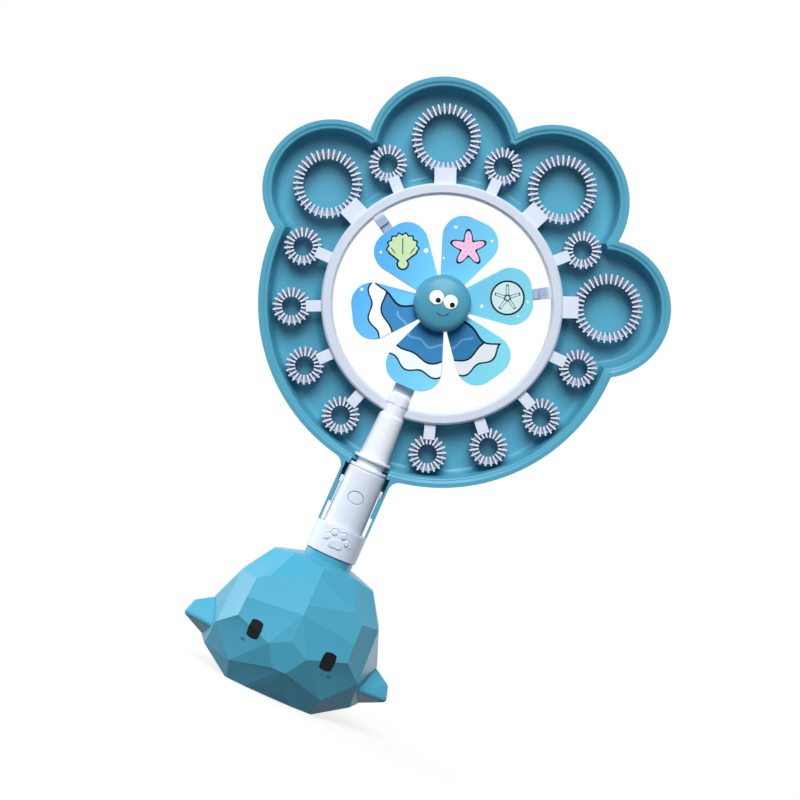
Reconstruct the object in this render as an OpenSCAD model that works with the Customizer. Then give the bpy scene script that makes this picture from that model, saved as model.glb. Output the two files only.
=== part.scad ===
// Windmill bubble wand in its paw-shaped dip tray, standing on a whale-shaped bottle.
// The front faces -Y and +Z is up. The origin is the centre of the bottle's flat base.
// Depths of the wheel and the tray are measured from the handle's axis, positive to the front.

/* [Whale bottle] */
// Height of the body, from the base to the neck collar
whale_h = 88.5; // [80:0.5:110]
// Half width of the body, without the fins
whale_half_w = 54.7; // [45:0.1:65]
// Half depth of the body, front to back
whale_half_d = 49; // [42:0.5:60]
// Wall of the body
bottle_wall = 2; // [1.2:0.1:3]
// How far a fin stands out of the body's side
fin_reach = 13.5; // [6:0.5:20]
// Radius of the neck collar that shows under the cap
collar_neck_r = 15.5; // [15:0.1:16]
// Radius of the neck's screw part
neck_r = 13.7; // [13:0.1:14]
// Radius of the bore through the neck
neck_bore_r = 11.2; // [9:0.1:12]
// Height of the neck collar between body and cap
neck_gap = 4.5; // [3:0.5:8]

/* [Cap band] */
// Radius of the cap band
cap_r = 16.5; // [16:0.1:19]
// Height of the cap band
cap_h = 18; // [17.5:0.5:30]
// Height of the neck that is inside the cap
neck_grip = 6.5; // [4:0.5:7]
// Thickness of the partition between bottle and battery bay
partition_t = 1; // [0.8:0.1:1.4]
// Thickness of the gasket
seal_t = 1; // [0.6:0.1:1.4]
// Radius of the handle's spigot in the cap
spigot_r = 12.3; // [12:0.1:12.5]

/* [Handle] */
// Length of the handle that shows above the cap
handle_len = 38.5; // [38:0.5:60]
// Radius of the handle at its top
handle_top_r = 12.25; // [12:0.05:12.6]
// Radius of the handle at the cap
handle_foot_r = 12.9; // [12.6:0.05:13]
// Radius of the battery bay
bay_r = 10.75; // [10.7:0.05:11]
// Width of a side nub, along the handle
nub_h = 4.2; // [1.5:0.1:4.5]
// How far a side nub reaches from the handle's axis
nub_reach = 14.3; // [13.5:0.1:14.5]
// Height of the nubs above the cap
nub_up = 26.2; // [26:0.1:28]
// Width of the oval button
button_w = 9.6; // [8:0.1:11]
// Height of the oval button
button_h = 7.2; // [6:0.1:8.5]
// Height of the button's centre above the cap
button_up = 20.8; // [16:0.1:26]
// Travel of the button
button_travel = 0.8; // [0.4:0.1:1]
// Thickness of the button's retaining flange
button_flange_t = 1.6; // [1:0.1:1.8]
// How far the flange stands out round the button
button_flange_w = 1; // [0.6:0.1:1.2]

/* [Battery and switch] */
// Diameter of an AAA cell
cell_d = 10.5; // [10:0.1:10.5]
// Length of an AAA cell
cell_len = 44.5; // [43:0.1:44.5]
// Diameter of a cell's contact nub
cell_nub_d = 3.8; // [3:0.1:4]
// Height of a cell's contact nub
cell_nub_h = 1; // [0.8:0.1:1.4]
// Room for the cells along their length
cell_play = 0.5; // [0.2:0.1:0.8]
// Thickness of a contact plate
contact_t = 0.5; // [0.3:0.1:0.8]
// Width of the switch board
board_w = 5; // [4:0.1:5.2]
// Length of the switch board
board_len = 19; // [18:0.5:24]
// Thickness of the switch board
board_t = 1; // [0.8:0.1:1.2]
// Side of the square tact switch
switch_w = 4.2; // [3:0.1:4.6]
// Height of the tact switch's body
switch_t = 1.5; // [1:0.1:1.6]

/* [Stem] */
// Height of the collar on top of the handle
collar_h = 2.3; // [1.5:0.1:4]
// Radius of the collar
collar_r = 12.1; // [11.5:0.1:12.3]
// Height of the neck groove that the tray's wall hangs in
groove_h = 4.2; // [3.8:0.1:6]
// Radius of the neck groove
groove_r = 9; // [8:0.1:10]
// Height of the flange above the groove
flange_h = 2; // [1:0.1:3]
// Radius of the flange
flange_r = 12; // [10.5:0.1:12.4]
// Length of the stem, from the flange to the wheel's band
stem_len = 30; // [29:0.5:45]
// Radius of the stem at the flange
stem_foot_r = 9.5; // [9:0.1:11]
// Radius of the stem at its shoulder
stem_top_r = 8; // [7.2:0.1:9]
// Radius of the boss over the band
boss_r = 7; // [6.2:0.1:7.2]
// Radius of the bore for the wheel's peg and the leads
stem_bore_r = 5.5; // [5.4:0.05:5.6]
// Half width of the hood over the band
hood_half_w = 7; // [6.6:0.1:9]
// How far the hood reaches in from the band
hood_in = 7; // [5:0.5:8]
// Corner radius of the hood
hood_corner = 4.5; // [1:0.1:5]

/* [Wheel] */
// Outer radius of the band
band_r = 75; // [74:0.5:76]
// Width of the band
band_w = 7; // [6.5:0.1:7.5]
// Front of the band, before the handle's axis
band_front = 2; // [1.5:0.1:2.5]
// Back of the band, behind the handle's axis
band_back = 8; // [7:0.1:9]
// Wall of the band's channel
band_wall = 2; // [1.5:0.1:2.1]
// Thickness of the band's front
band_front_t = 2.5; // [2:0.1:3]
// Bevel of the band's front edges
band_bevel = 1.2; // [0.4:0.1:1.4]
// Width of the two upper spokes
spoke_w = 7; // [5:0.1:9]
// Width of the spoke that holds the cable duct
duct_spoke_w = 13; // [10:0.1:15]
// Front of the spokes, behind the handle's axis
spoke_front = 1; // [0.6:0.1:1.4]
// Back of the spokes
spoke_back = 6.5; // [6:0.1:7]
// Rise of a spoke's foot at the band
spoke_foot_rise = 2; // [0.5:0.1:2.5]
// Length of a spoke's foot
spoke_foot_len = 8.5; // [4:0.1:9]
// Width of the cable duct
duct_w = 4; // [3.6:0.1:4.4]
// Wall of the cable duct
duct_wall = 2; // [1.2:0.1:2.2]
// Length of the peg that the stem is pressed on
peg_len = 9; // [6:0.5:14]

/* [Hoops] */
// Distance of the large hoops' centres from the hub
large_at_r = 103; // [102:0.5:105]
// Rib tip radius of a large hoop
large_tip_r = 21.5; // [19:0.1:23]
// Opening radius of a large hoop
large_open_r = 15.2; // [12:0.1:16]
// Ribs of a large hoop
large_ribs = 36; // [24:1:40]
// Width of a large hoop's tab
large_tab_w = 13.6; // [8:0.1:16]
// Distance of the small hoops' centres from the hub
small_at_r = 93.4; // [92:0.1:95]
// Rib tip radius of a small hoop
small_tip_r = 11.8; // [10:0.1:12.4]
// Opening radius of a small hoop
small_open_r = 6; // [5:0.1:7]
// Ribs of a small hoop
small_ribs = 20; // [16:1:22]
// Width of a small hoop's tab
small_tab_w = 7; // [5:0.1:8]
// Radial width of a hoop's core ring
core_w = 3.2; // [2:0.1:4]
// Thickness of a rib
rib_t = 1.1; // [0.8:0.1:1.3]
// Depth of the ribs, front to back
rib_depth = 9.7; // [8:0.1:10]
// How far the core lies back from the ribs' faces
core_recess = 1.2; // [0.5:0.1:2]
// Fall of the core's front face towards the opening
core_fall = 2.4; // [1:0.1:3]
// Front of the ribs, behind the handle's axis
rib_front = 0.8; // [0.6:0.1:1.2]
// Front of the tabs, behind the handle's axis
tab_front = 0.5; // [0.5:0.1:0.8]
// Thickness of a tab
tab_t = 2.5; // [1.5:0.1:2.5]

/* [Windmill] */
// Tip radius of the petals
petal_tip_r = 56; // [45:0.5:57]
// Half width of a petal
petal_half_w = 18; // [14:0.1:19]
// Corner radius of a petal's tip
petal_corner = 13; // [9:0.1:13.5]
// Half width of a petal at its root
petal_root_w = 8.2; // [6:0.1:8.4]
// Distance of a petal's root from the axis
petal_root_r = 16; // [15:0.1:17]
// Thickness of a petal
petal_t = 1.6; // [1:0.1:2]
// Pitch of the petals, in degrees
petal_pitch = 12; // [0:0.5:13]
// Middle of the petals, before the handle's axis
petal_mid = 5.5; // [5.4:0.1:6]
// Radius of the disc that carries the petals
rotor_disc_r = 16.8; // [16:0.1:17.2]
// Radius of the hub cap
hub_cap_r = 17.75; // [17.4:0.05:20]
// Height of the hub cap
hub_cap_h = 11.4; // [9:0.1:14]
// Edge radius of the hub cap
hub_cap_edge = 6; // [5.8:0.1:6.6]
// Depth of the dish in the hub cap's front
hub_cap_dish = 0.4; // [0.2:0.1:1]
// Wall of the hub cap
hub_cap_wall = 1.8; // [1.2:0.1:2.4]

/* [Motor] */
// Radius of the motor can
motor_r = 10; // [9:0.1:10.2]
// Width over the motor can's flats
motor_flat_w = 15.2; // [14:0.1:16]
// Length of the motor can
motor_len = 19; // [15:0.5:20]
// Radius of the motor's front boss
motor_boss_r = 3; // [2.4:0.1:3.4]
// Radius of the motor shaft
shaft_r = 1; // [0.75:0.05:1.2]
// Wall of the motor pot
pot_wall = 2.4; // [1.8:0.1:3]
// Back of the motor pot, behind the handle's axis
pot_back = 25; // [24:0.5:32]
// Front plate of the motor pot
pot_plate_t = 1.5; // [1:0.1:2]
// Thickness of the motor cover
cover_t = 2.5; // [1.5:0.1:4]
// Radius of a screw's shank
screw_r = 1; // [0.8:0.05:1.2]
// Radius of a screw's head
screw_head_r = 1.9; // [1.6:0.05:2.1]
// Height of a screw's head
screw_head_h = 1.3; // [0.8:0.1:1.4]
// Length of a cover screw in the pot
screw_len = 7; // [4:0.5:9]
// Length of a screw lug
lug_len = 12; // [11:0.5:14]
// Wall of a screw lug round the head
lug_wall = 0.7; // [0.5:0.1:1]

/* [Dip tray] */
// Radius of the tray's round part
tray_r = 114; // [113.6:0.1:114.4]
// Radius of an upper toe lobe
upper_lobe_r = 47.8; // [42:0.1:50]
// Distance of the upper lobes' centres from the hub
upper_lobe_at_r = 93; // [88:0.5:98]
// Radius of a side toe lobe
side_lobe_r = 42.8; // [38:0.1:46]
// Distance of the side lobes' centres from the hub
side_lobe_at_r = 99; // [95:0.5:104]
// Width of the rim
rim_w = 5.8; // [5:0.1:6.4]
// Thickness of the rim
rim_t = 2.6; // [1.6:0.1:4]
// Front of the rim, before the handle's axis
rim_front = 3; // [2:0.1:4]
// Width of the bead along the rim's outer edge
bead_w = 2.7; // [2:0.1:3.4]
// How far the bead stands over the rim
bead_h = 0.9; // [0.4:0.1:1.2]
// Wall of the tray
tray_wall = 2.2; // [1.6:0.1:2.6]
// Front of the trough's floor, behind the handle's axis
floor_front = 14; // [13.2:0.1:18]
// Thickness of the floor
floor_t = 1.8; // [1.2:0.1:3]
// Width of the sloped foot of the inner wall
inner_foot_w = 7; // [3:0.1:9]
// Outer half distance of the arms
arm_reach = 16.4; // [16.3:0.1:17]
// Thickness of an arm
arm_t = 1.5; // [1:0.1:1.7]
// Back of the arms, behind the handle's axis
arm_back = 12; // [8:0.5:14]
// Radius of the round where an arm leaves the rim
root_round = 7; // [4:0.5:10]
// Length of an arm's grip pad
pad_len = 13; // [8:0.5:14]
// Height of the grip pads' lower ends above the cap
pad_up = 12.5; // [8:0.5:13]

/* [Fits] */
// Gap between pieces that move past each other
run_gap = 0.3; // [0.3:0.05:0.4]
// Gap round a piece that sits in another
seat_gap = 0.05; // [0.02:0.01:0.1]
// Radial gap of the shaft in the motor
shaft_gap = 0.05; // [0.02:0.01:0.08]
// Gap between the tray's inner wall and the band's skirt
wall_gap = 0.5; // [0.4:0.05:0.7]

/* [Hidden] */
$fn = 96;

teal = "#4fa3bd";
pale = "#dfe5f0";
white = "#f2f4f8";
steel = "#b9bec6";
brass = "#c9b26a";
black = "#22262b";
petal_blue = "#6cc4ff";

// How far a cut runs past a face, and how far joined shapes run into each other
over = 1;
bite = 0.5;

// Heights, from the base up
cap_z0 = whale_h + neck_gap;
cap_z1 = cap_z0 + cap_h;
handle_z1 = cap_z1 + handle_len;
groove_z0 = handle_z1 + collar_h;
flange_z0 = groove_z0 + groove_h;
stem_z0 = flange_z0 + flange_h;
band_z0 = stem_z0 + stem_len;
hub_z = band_z0 + band_r;
bay_z0 = cap_z0 + neck_grip + seal_t + partition_t;
bay_z1 = bay_z0 + cell_len + 2 * contact_t + cell_play;
button_z = cap_z1 + button_up;
nub_z = cap_z1 + nub_up;

// Battery bay and switch
cell_x = cell_d / 2 + seat_gap;
contact_half_d = 4.2;
contact_in_x = 0.4;
contact_out_x = 9;
lead_r = 0.6;
lead_x = contact_in_x + lead_r;
lead_y = 3.5;
board_back_y = -4.75;
board_front_y = board_back_y - board_t;
button_back_y = -(bay_r - run_gap) + button_flange_t;
switch_nub_y = button_back_y + button_travel + run_gap;
post_h = 2.5;
post_w = 3;
lock_screw_z = (bay_z0 + cap_z1) / 2;
lock_screw_tip_y = bay_r + run_gap;
lock_screw_sink = 0.4;
lock_head_y = cap_r - lock_screw_sink - screw_head_h;
nub_half_d = 1.5;

// Wheel
band_in_r = band_r - band_w;
channel_in_r = band_in_r + band_wall;
channel_out_r = band_r - band_wall;
channel_front = band_front - band_front_t;
spoke_end_r = channel_in_r - 2 * bite;
spoke_angles = [30, 150];
pot_in_r = motor_r + seat_gap;
pot_r = pot_in_r + pot_wall;
pot_front = -spoke_front;
motor_front = pot_front - pot_plate_t;
lug_r = screw_head_r + lug_wall;
lug_at_r = pot_r + screw_r + lug_wall;
lug_angles = [90, 210, 330];
duct_half_d = 1;
duct_y = [lead_y - duct_half_d, lead_y + duct_half_d];
duct_block_w = duct_w + 2 * duct_wall;
peg_r = stem_bore_r - seat_gap;
hood_back = band_front + seat_gap;
stem_z1 = band_z0 - 4 * seat_gap;
stem_shoulder = 1.8;

// Hoops
large_angles = [22.5, 67.5, 112.5, 157.5];
upper_small_angles = [45, 90, 135];
lower_small_steps = [18.4, 41.9, 65.2, 88.6];
small_angles = concat(upper_small_angles, [for (s = lower_small_steps) each [270 - s, 270 + s]]);
tab_past = 0.4;
tab_in_r = channel_out_r - tab_past;

// Windmill
petal_angles = [for (i = [0:5]) 30 + 60 * i];
hub_cap_back = petal_mid + petal_root_w * sin(petal_pitch) + petal_t / 2 + run_gap;
rotor_disc_t = 4;
petal_sunk = 4;
rotor_boss_r = 5;
rotor_boss_back = run_gap;
shaft_end_cover = 1;

// Tray
tray_floor_back = floor_front + floor_t;
inner_wall_in_r = channel_in_r + run_gap;
inner_wall_out_r = channel_out_r - wall_gap;
inner_wall_front = -(tab_front + tab_t + run_gap);
foot_front = -(band_back + wall_gap);
arm_z0 = cap_z1 + run_gap;
arm_z1 = hub_z - (tray_r - rim_w) + bite;
arm_in_x = arm_reach - arm_t;
pad_in_x = handle_foot_r + run_gap;
root_x = arm_reach + root_round;
root_z = hub_z - sqrt(pow(tray_r + root_round, 2) - pow(root_x, 2));
root_tip_x = root_x * tray_r / (tray_r + root_round);
wall_out_off = rim_w - tray_wall;
upper_lobe_turn = 23.3;
side_lobe_turn = 67.8;
notch_z0 = handle_z1 - collar_r / 2;
notch_z1 = stem_z0 + collar_r / 2;

// Places its children on the hub, with local Z to the front and angles in the wheel's plane
module at_hub() {
  translate([0, 0, hub_z])
    rotate([90, 0, 0])
      children();
}

// Box given by its lowest and highest corners
module box(low, high) {
  translate(low)
    cube(high - low);
}

// Oval outline
module oval(half_w, half_h) {
  polygon([for (i = [0:59]) [half_w * cos(6 * i), half_h * sin(6 * i)]]);
}

// Straight cylinder between two heights
module drum(r, z0, z1) {
  translate([0, 0, z0])
    cylinder(r = r, h = z1 - z0);
}

module band() {
  rotate_extrude()
    polygon([
      [band_in_r, -band_back], [channel_in_r, -band_back], [channel_in_r, channel_front],
      [channel_out_r, channel_front], [channel_out_r, -band_back], [band_r, -band_back],
      [band_r, band_front - band_bevel], [band_r - band_bevel, band_front],
      [band_in_r + band_bevel, band_front], [band_in_r, band_front - band_bevel]
    ]);
}

// Spoke along local X, with a raised foot at the band
module spoke(w) {
  box([pot_in_r + bite, -w / 2, -spoke_back], [spoke_end_r, w / 2, -spoke_front]);
  box([spoke_end_r - spoke_foot_len, -w / 2, -spoke_back],
      [spoke_end_r, w / 2, -spoke_front + spoke_foot_rise]);
}

// Slot in the band's outer skirt for a hoop's tab
module tab_slot(w) {
  box([channel_out_r - over, -w / 2 - seat_gap, -tab_front - tab_t - seat_gap],
      [band_r + over, w / 2 + seat_gap, -tab_front + seat_gap]);
}

module wheel_frame() {
  color(pale)
    difference() {
      union() {
        at_hub() {
          band();
          for (a = spoke_angles)
            rotate(a) spoke(spoke_w);
          rotate(270) spoke(duct_spoke_w);
          rotate(270)
            box([spoke_end_r - bite, -duct_block_w / 2, -spoke_back],
                [band_r - bite, duct_block_w / 2, -spoke_front]);
          drum(pot_r, -pot_back, pot_front);
          for (a = lug_angles)
            rotate(a) translate([lug_at_r, 0, 0]) drum(lug_r, -pot_back, -pot_back + lug_len);
        }
        intersection() {
          drum(peg_r, band_z0 - peg_len, band_z0 + band_wall - seat_gap);
          box([-boss_r, -band_front + seat_gap, 0], [boss_r, boss_r, hub_z]);
        }
      }
      at_hub() {
        drum(pot_in_r, -pot_back - over, motor_front);
        drum(motor_boss_r + seat_gap, motor_front - over, pot_front + over);
        for (a = lug_angles)
          rotate(a) translate([lug_at_r, 0, 0])
            drum(screw_r + seat_gap, -pot_back - over, -pot_back + screw_len + over);
        for (a = large_angles)
          rotate(a) tab_slot(large_tab_w);
        for (a = small_angles)
          rotate(a) tab_slot(small_tab_w);
      }
      box([-duct_w / 2, duct_y[0], band_z0 - peg_len - over],
          [duct_w / 2, duct_y[1], hub_z - pot_in_r + over]);
    }
}

// Ribbed bubble hoop on its tab, with the hub towards local -X
module hoop(at_r, tip_r, open_r, ribs, tab_w) {
  core_mid_r = (tip_r + open_r) / 2;
  translate([at_r, 0, -rib_front - rib_depth]) {
    rotate_extrude()
      polygon([
        [core_mid_r - core_w / 2, core_recess], [core_mid_r + core_w / 2, core_recess],
        [core_mid_r + core_w / 2, rib_depth - core_recess],
        [core_mid_r - core_w / 2, rib_depth - core_recess - core_fall]
      ]);
    for (i = [0:ribs - 1])
      rotate(360 * (i + 0.5) / ribs)
        box([open_r, -rib_t / 2, 0], [tip_r, rib_t / 2, rib_depth]);
  }
  box([tab_in_r, -tab_w / 2, -tab_front - tab_t], [at_r - core_mid_r, tab_w / 2, -tab_front]);
}

module large_hoops() {
  color(white)
    at_hub()
      for (a = large_angles)
        rotate(a) hoop(large_at_r, large_tip_r, large_open_r, large_ribs, large_tab_w);
}

module small_hoops() {
  color(white)
    at_hub()
      for (a = small_angles)
        rotate(a) hoop(small_at_r, small_tip_r, small_open_r, small_ribs, small_tab_w);
}

module motor_can() {
  color(steel)
    at_hub()
      difference() {
        union() {
          intersection() {
            drum(motor_r, motor_front - motor_len, motor_front);
            box([-motor_r, -motor_flat_w / 2, -pot_back], [motor_r, motor_flat_w / 2, 0]);
          }
          drum(motor_boss_r, motor_front - bite, pot_front - seat_gap);
        }
        drum(shaft_r + shaft_gap, motor_front - motor_len - over, 0);
      }
}

module motor_end_bell() {
  color(black)
    at_hub()
      drum(motor_r - seat_gap, -pot_back, motor_front - motor_len);
}

module motor_cover() {
  color(pale)
    at_hub()
      difference() {
        union() {
          drum(pot_r, -pot_back - cover_t, -pot_back);
          for (a = lug_angles)
            rotate(a) translate([lug_at_r, 0, 0]) drum(lug_r, -pot_back - cover_t, -pot_back);
        }
        for (a = lug_angles)
          rotate(a) translate([lug_at_r, 0, 0]) {
            drum(screw_r + seat_gap, -pot_back - cover_t - over, -pot_back + over);
            drum(screw_head_r + seat_gap, -pot_back - cover_t - over, -pot_back - cover_t + screw_head_h);
          }
      }
}

module motor_cover_screws() {
  color(steel)
    at_hub()
      for (a = lug_angles)
        rotate(a) translate([lug_at_r, 0, 0]) {
          drum(screw_r, -pot_back - cover_t + bite, -pot_back + screw_len);
          drum(screw_head_r, -pot_back - cover_t, -pot_back - cover_t + screw_head_h);
        }
}

// Two leads up the stem and the duct, then back to the motor's end bell
module motor_leads() {
  turn_z = hub_z - (motor_flat_w / 2 + pot_in_r) / 2;
  color("firebrick")
    for (x = [-lead_x, lead_x])
      translate([x, lead_y, 0]) {
        drum(lead_r, bay_z1, turn_z + lead_r);
        translate([0, 0, turn_z])
          rotate([-90, 0, 0])
            cylinder(r = lead_r, h = -motor_front + motor_len - lead_y);
      }
}

// Arch over the band in front, with round upper corners and a round front
module hood() {
  top_z = band_z0 + band_w + hood_in;
  intersection() {
    translate([0, -hood_back, 0])
      rotate([90, 0, 0])
        linear_extrude(boss_r - hood_back)
          difference() {
            translate([-hood_half_w, band_z0 + band_w - bite])
              square([2 * hood_half_w, hood_in + bite]);
            for (s = [-1, 1])
              translate([s * (hood_half_w - hood_corner), top_z - hood_corner])
                difference() {
                  translate([s > 0 ? 0 : -hood_corner - over, 0])
                    square(hood_corner + over);
                  circle(hood_corner);
                }
          }
    drum(hood_half_w + bite, band_z0, hub_z);
  }
}

module stem() {
  color(white)
    difference() {
      union() {
        rotate_extrude()
          polygon([
            [0, bay_z1], [bay_r - seat_gap, bay_z1], [bay_r - seat_gap, handle_z1], [collar_r, handle_z1],
            [collar_r, groove_z0], [groove_r, groove_z0], [groove_r, flange_z0], [flange_r, flange_z0],
            [flange_r, stem_z0], [stem_foot_r, stem_z0], [stem_top_r, stem_z1 - stem_shoulder],
            [boss_r, stem_z1], [0, stem_z1]
          ]);
        intersection() {
          drum(boss_r, stem_z1 - bite, band_z0 + band_w);
          box([-boss_r, -boss_r, 0], [boss_r, -hood_back, hub_z]);
        }
        hood();
      }
      difference() {
        drum(stem_bore_r, bay_z1 - over, band_z0 + over);
        box([-boss_r, -boss_r, stem_z1], [boss_r, -hood_back, hub_z]);
      }
    }
}

// Outer shape of the handle
module handle_outer() {
  drum(spigot_r, bay_z0, cap_z1 + bite);
  translate([0, 0, cap_z1])
    cylinder(r1 = handle_foot_r, r2 = handle_top_r, h = handle_len);
}

module handle_barrel() {
  color(pale)
    difference() {
      union() {
        difference() {
          handle_outer();
          drum(bay_r, bay_z0 - over, handle_z1 + over);
        }
        for (s = [-1, 1])
          box([s > 0 ? bay_r + bite : -nub_reach, -nub_half_d, nub_z],
              [s > 0 ? nub_reach : -bay_r - bite, nub_half_d, nub_z + nub_h]);
        for (z = [button_z - board_len / 2, button_z + board_len / 2 - post_h])
          box([-post_w / 2, -bay_r - bite, z], [post_w / 2, board_front_y, z + post_h]);
      }
      translate([0, 0, button_z])
        rotate([90, 0, 0])
          linear_extrude(2 * handle_foot_r)
            oval(button_w / 2 + run_gap, button_h / 2 + run_gap);
      translate([0, 0, lock_screw_z])
        rotate([-90, 0, 0])
          drum(screw_r + seat_gap, bay_r - over, cap_r);
    }
}

module power_button() {
  color(pale)
    intersection() {
      union() {
        translate([0, 0, button_z])
          rotate([90, 0, 0])
            linear_extrude(2 * handle_foot_r)
              oval(button_w / 2, button_h / 2);
        intersection() {
          translate([0, 0, button_z])
            rotate([90, 0, 0])
              linear_extrude(2 * handle_foot_r)
                oval(button_w / 2 + button_flange_w, button_h / 2 + button_flange_w);
          drum(bay_r - run_gap, bay_z0, handle_z1);
        }
      }
      translate([0, 0, cap_z1])
        cylinder(r1 = handle_foot_r, r2 = handle_top_r, h = handle_len);
      box([-bay_r, -handle_foot_r, cap_z1], [bay_r, button_back_y, handle_z1]);
    }
}

module switch_board() {
  color("darkgreen")
    box([-board_w / 2, board_front_y, button_z - board_len / 2],
        [board_w / 2, board_back_y, button_z + board_len / 2]);
}

module tact_switch() {
  color(black) {
    box([-switch_w / 2, board_front_y - switch_t, button_z - switch_w / 2],
        [switch_w / 2, board_front_y, button_z + switch_w / 2]);
    translate([0, 0, button_z])
      rotate([90, 0, 0])
        drum(switch_w / 4, -board_front_y + switch_t - bite, -switch_nub_y);
  }
}

// AAA cell standing on local Z
module cell() {
  drum(cell_d / 2, 0, cell_len - cell_nub_h);
  drum(cell_nub_d / 2, cell_len - cell_nub_h - bite, cell_len);
}

module battery_cells() {
  color("goldenrod") {
    translate([-cell_x, 0, bay_z0 + contact_t])
      cell();
    translate([cell_x, 0, bay_z0 + contact_t + cell_len])
      rotate([180, 0, 0])
        cell();
  }
}

module cell_contacts() {
  color(brass)
    for (s = [-1, 1])
      box([s > 0 ? contact_in_x : -contact_out_x, -contact_half_d, bay_z1 - contact_t],
          [s > 0 ? contact_out_x : -contact_in_x, contact_half_d, bay_z1]);
}

module bridge_contact() {
  color(brass)
    box([-contact_out_x, -contact_half_d, bay_z0], [contact_out_x, contact_half_d, bay_z0 + contact_t]);
}

module bottle_cap() {
  color(pale)
    difference() {
      drum(cap_r, cap_z0, cap_z1);
      drum(neck_r + run_gap, cap_z0 - over, bay_z0 - partition_t);
      drum(spigot_r + seat_gap, bay_z0, cap_z1 + over);
      translate([0, 0, lock_screw_z])
        rotate([-90, 0, 0]) {
          drum(screw_r + seat_gap, 0, cap_r + over);
          drum(screw_head_r + seat_gap, lock_head_y, cap_r + over);
        }
    }
}

module cap_lock_screw() {
  color(steel)
    translate([0, 0, lock_screw_z])
      rotate([-90, 0, 0]) {
        drum(screw_r, lock_screw_tip_y, lock_head_y + bite);
        drum(screw_head_r, lock_head_y, lock_head_y + screw_head_h);
      }
}

module cap_seal() {
  color("gray")
    difference() {
      drum(neck_r, bay_z0 - partition_t - seal_t, bay_z0 - partition_t);
      drum(neck_bore_r, bay_z0 - partition_t - seal_t - over, bay_z0);
    }
}

// Outline of a petal, from its root to its round tip
module petal_outline() {
  corner_at = [petal_half_w - petal_corner, petal_tip_r - petal_corner];
  reach = [petal_root_w, petal_root_r] - corner_at;
  start = atan2(reach[1], reach[0]) + acos(petal_corner / norm(reach));
  side = [for (i = [0:16])
    corner_at + petal_corner * [cos(start + (90 - start) * i / 16), sin(start + (90 - start) * i / 16)]];
  half = concat([[petal_root_w, petal_root_r - petal_sunk], [petal_root_w, petal_root_r]], side);
  polygon(concat(half, [for (i = [len(half) - 1:-1:0]) [-half[i][0], half[i][1]]]));
}

module petal_rotor() {
  color(petal_blue)
    at_hub()
      difference() {
        union() {
          for (a = petal_angles)
            rotate(a - 90)
              translate([0, 0, petal_mid])
                rotate([0, petal_pitch, 0])
                  translate([0, 0, -petal_t / 2])
                    linear_extrude(petal_t)
                      petal_outline();
          drum(rotor_disc_r, petal_mid - rotor_disc_t / 2, petal_mid + rotor_disc_t / 2);
          drum(rotor_boss_r, rotor_boss_back, hub_cap_back);
        }
        drum(shaft_r + seat_gap, rotor_boss_back - over, hub_cap_back - shaft_end_cover);
      }
}

module hub_cap() {
  ring_r = hub_cap_r - hub_cap_edge;
  front = hub_cap_back + hub_cap_h;
  color(teal)
    at_hub()
      rotate_extrude()
        difference() {
          intersection() {
            union() {
              translate([ring_r, front - hub_cap_edge])
                circle(hub_cap_edge);
              translate([0, hub_cap_back])
                square([ring_r, hub_cap_h - hub_cap_dish]);
            }
            translate([0, hub_cap_back])
              square([hub_cap_r, hub_cap_h]);
          }
          translate([ring_r, front - hub_cap_edge])
            circle(hub_cap_edge - hub_cap_wall);
          translate([rotor_boss_r + over, hub_cap_back - over])
            square([ring_r - rotor_boss_r - over, hub_cap_h - hub_cap_wall - hub_cap_dish]);
          translate([ring_r - over, hub_cap_back - over])
            square([over + hub_cap_edge / 2, hub_cap_h / 2]);
        }
}

module motor_shaft() {
  color(steel)
    at_hub()
      drum(shaft_r, motor_front - motor_len + run_gap, hub_cap_back - shaft_end_cover - seat_gap);
}

// Plan of the tray, shrunk by the given amount
module tray_plan(inset) {
  circle(tray_r - inset);
  for (s = [-1, 1]) {
    rotate(90 + s * upper_lobe_turn) translate([upper_lobe_at_r, 0])
      circle(upper_lobe_r - inset);
    rotate(90 + s * side_lobe_turn) translate([side_lobe_at_r, 0])
      circle(side_lobe_r - inset);
  }
}

module slab(inset, back, front) {
  translate([0, 0, back])
    linear_extrude(front - back)
      tray_plan(inset);
}

// Solid of the trough's inner wall, with its sloped foot
module inner_wall() {
  rotate_extrude()
    polygon([
      [0, -tray_floor_back], [inner_wall_out_r + inner_foot_w, -tray_floor_back],
      [inner_wall_out_r + inner_foot_w, -floor_front], [inner_wall_out_r, foot_front],
      [inner_wall_out_r, inner_wall_front], [0, inner_wall_front]
    ]);
}

// Arm beside the handle, with a round root at the rim and a grip pad that snaps under the nub
module arm() {
  box([arm_in_x, -rim_front, arm_z0], [arm_reach, arm_back, nub_z]);
  box([arm_in_x, -rim_front, nub_z - bite], [arm_reach, tray_floor_back, arm_z1]);
  box([pad_in_x, -rim_front, cap_z1 + pad_up], [arm_reach, arm_back, cap_z1 + pad_up + pad_len]);
  difference() {
    box([arm_in_x, -rim_front, root_z], [root_tip_x, arm_back, arm_z1]);
    translate([root_x, arm_back + over, root_z])
      rotate([90, 0, 0])
        cylinder(r = root_round, h = arm_back + rim_front + 2 * over);
  }
}

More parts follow.
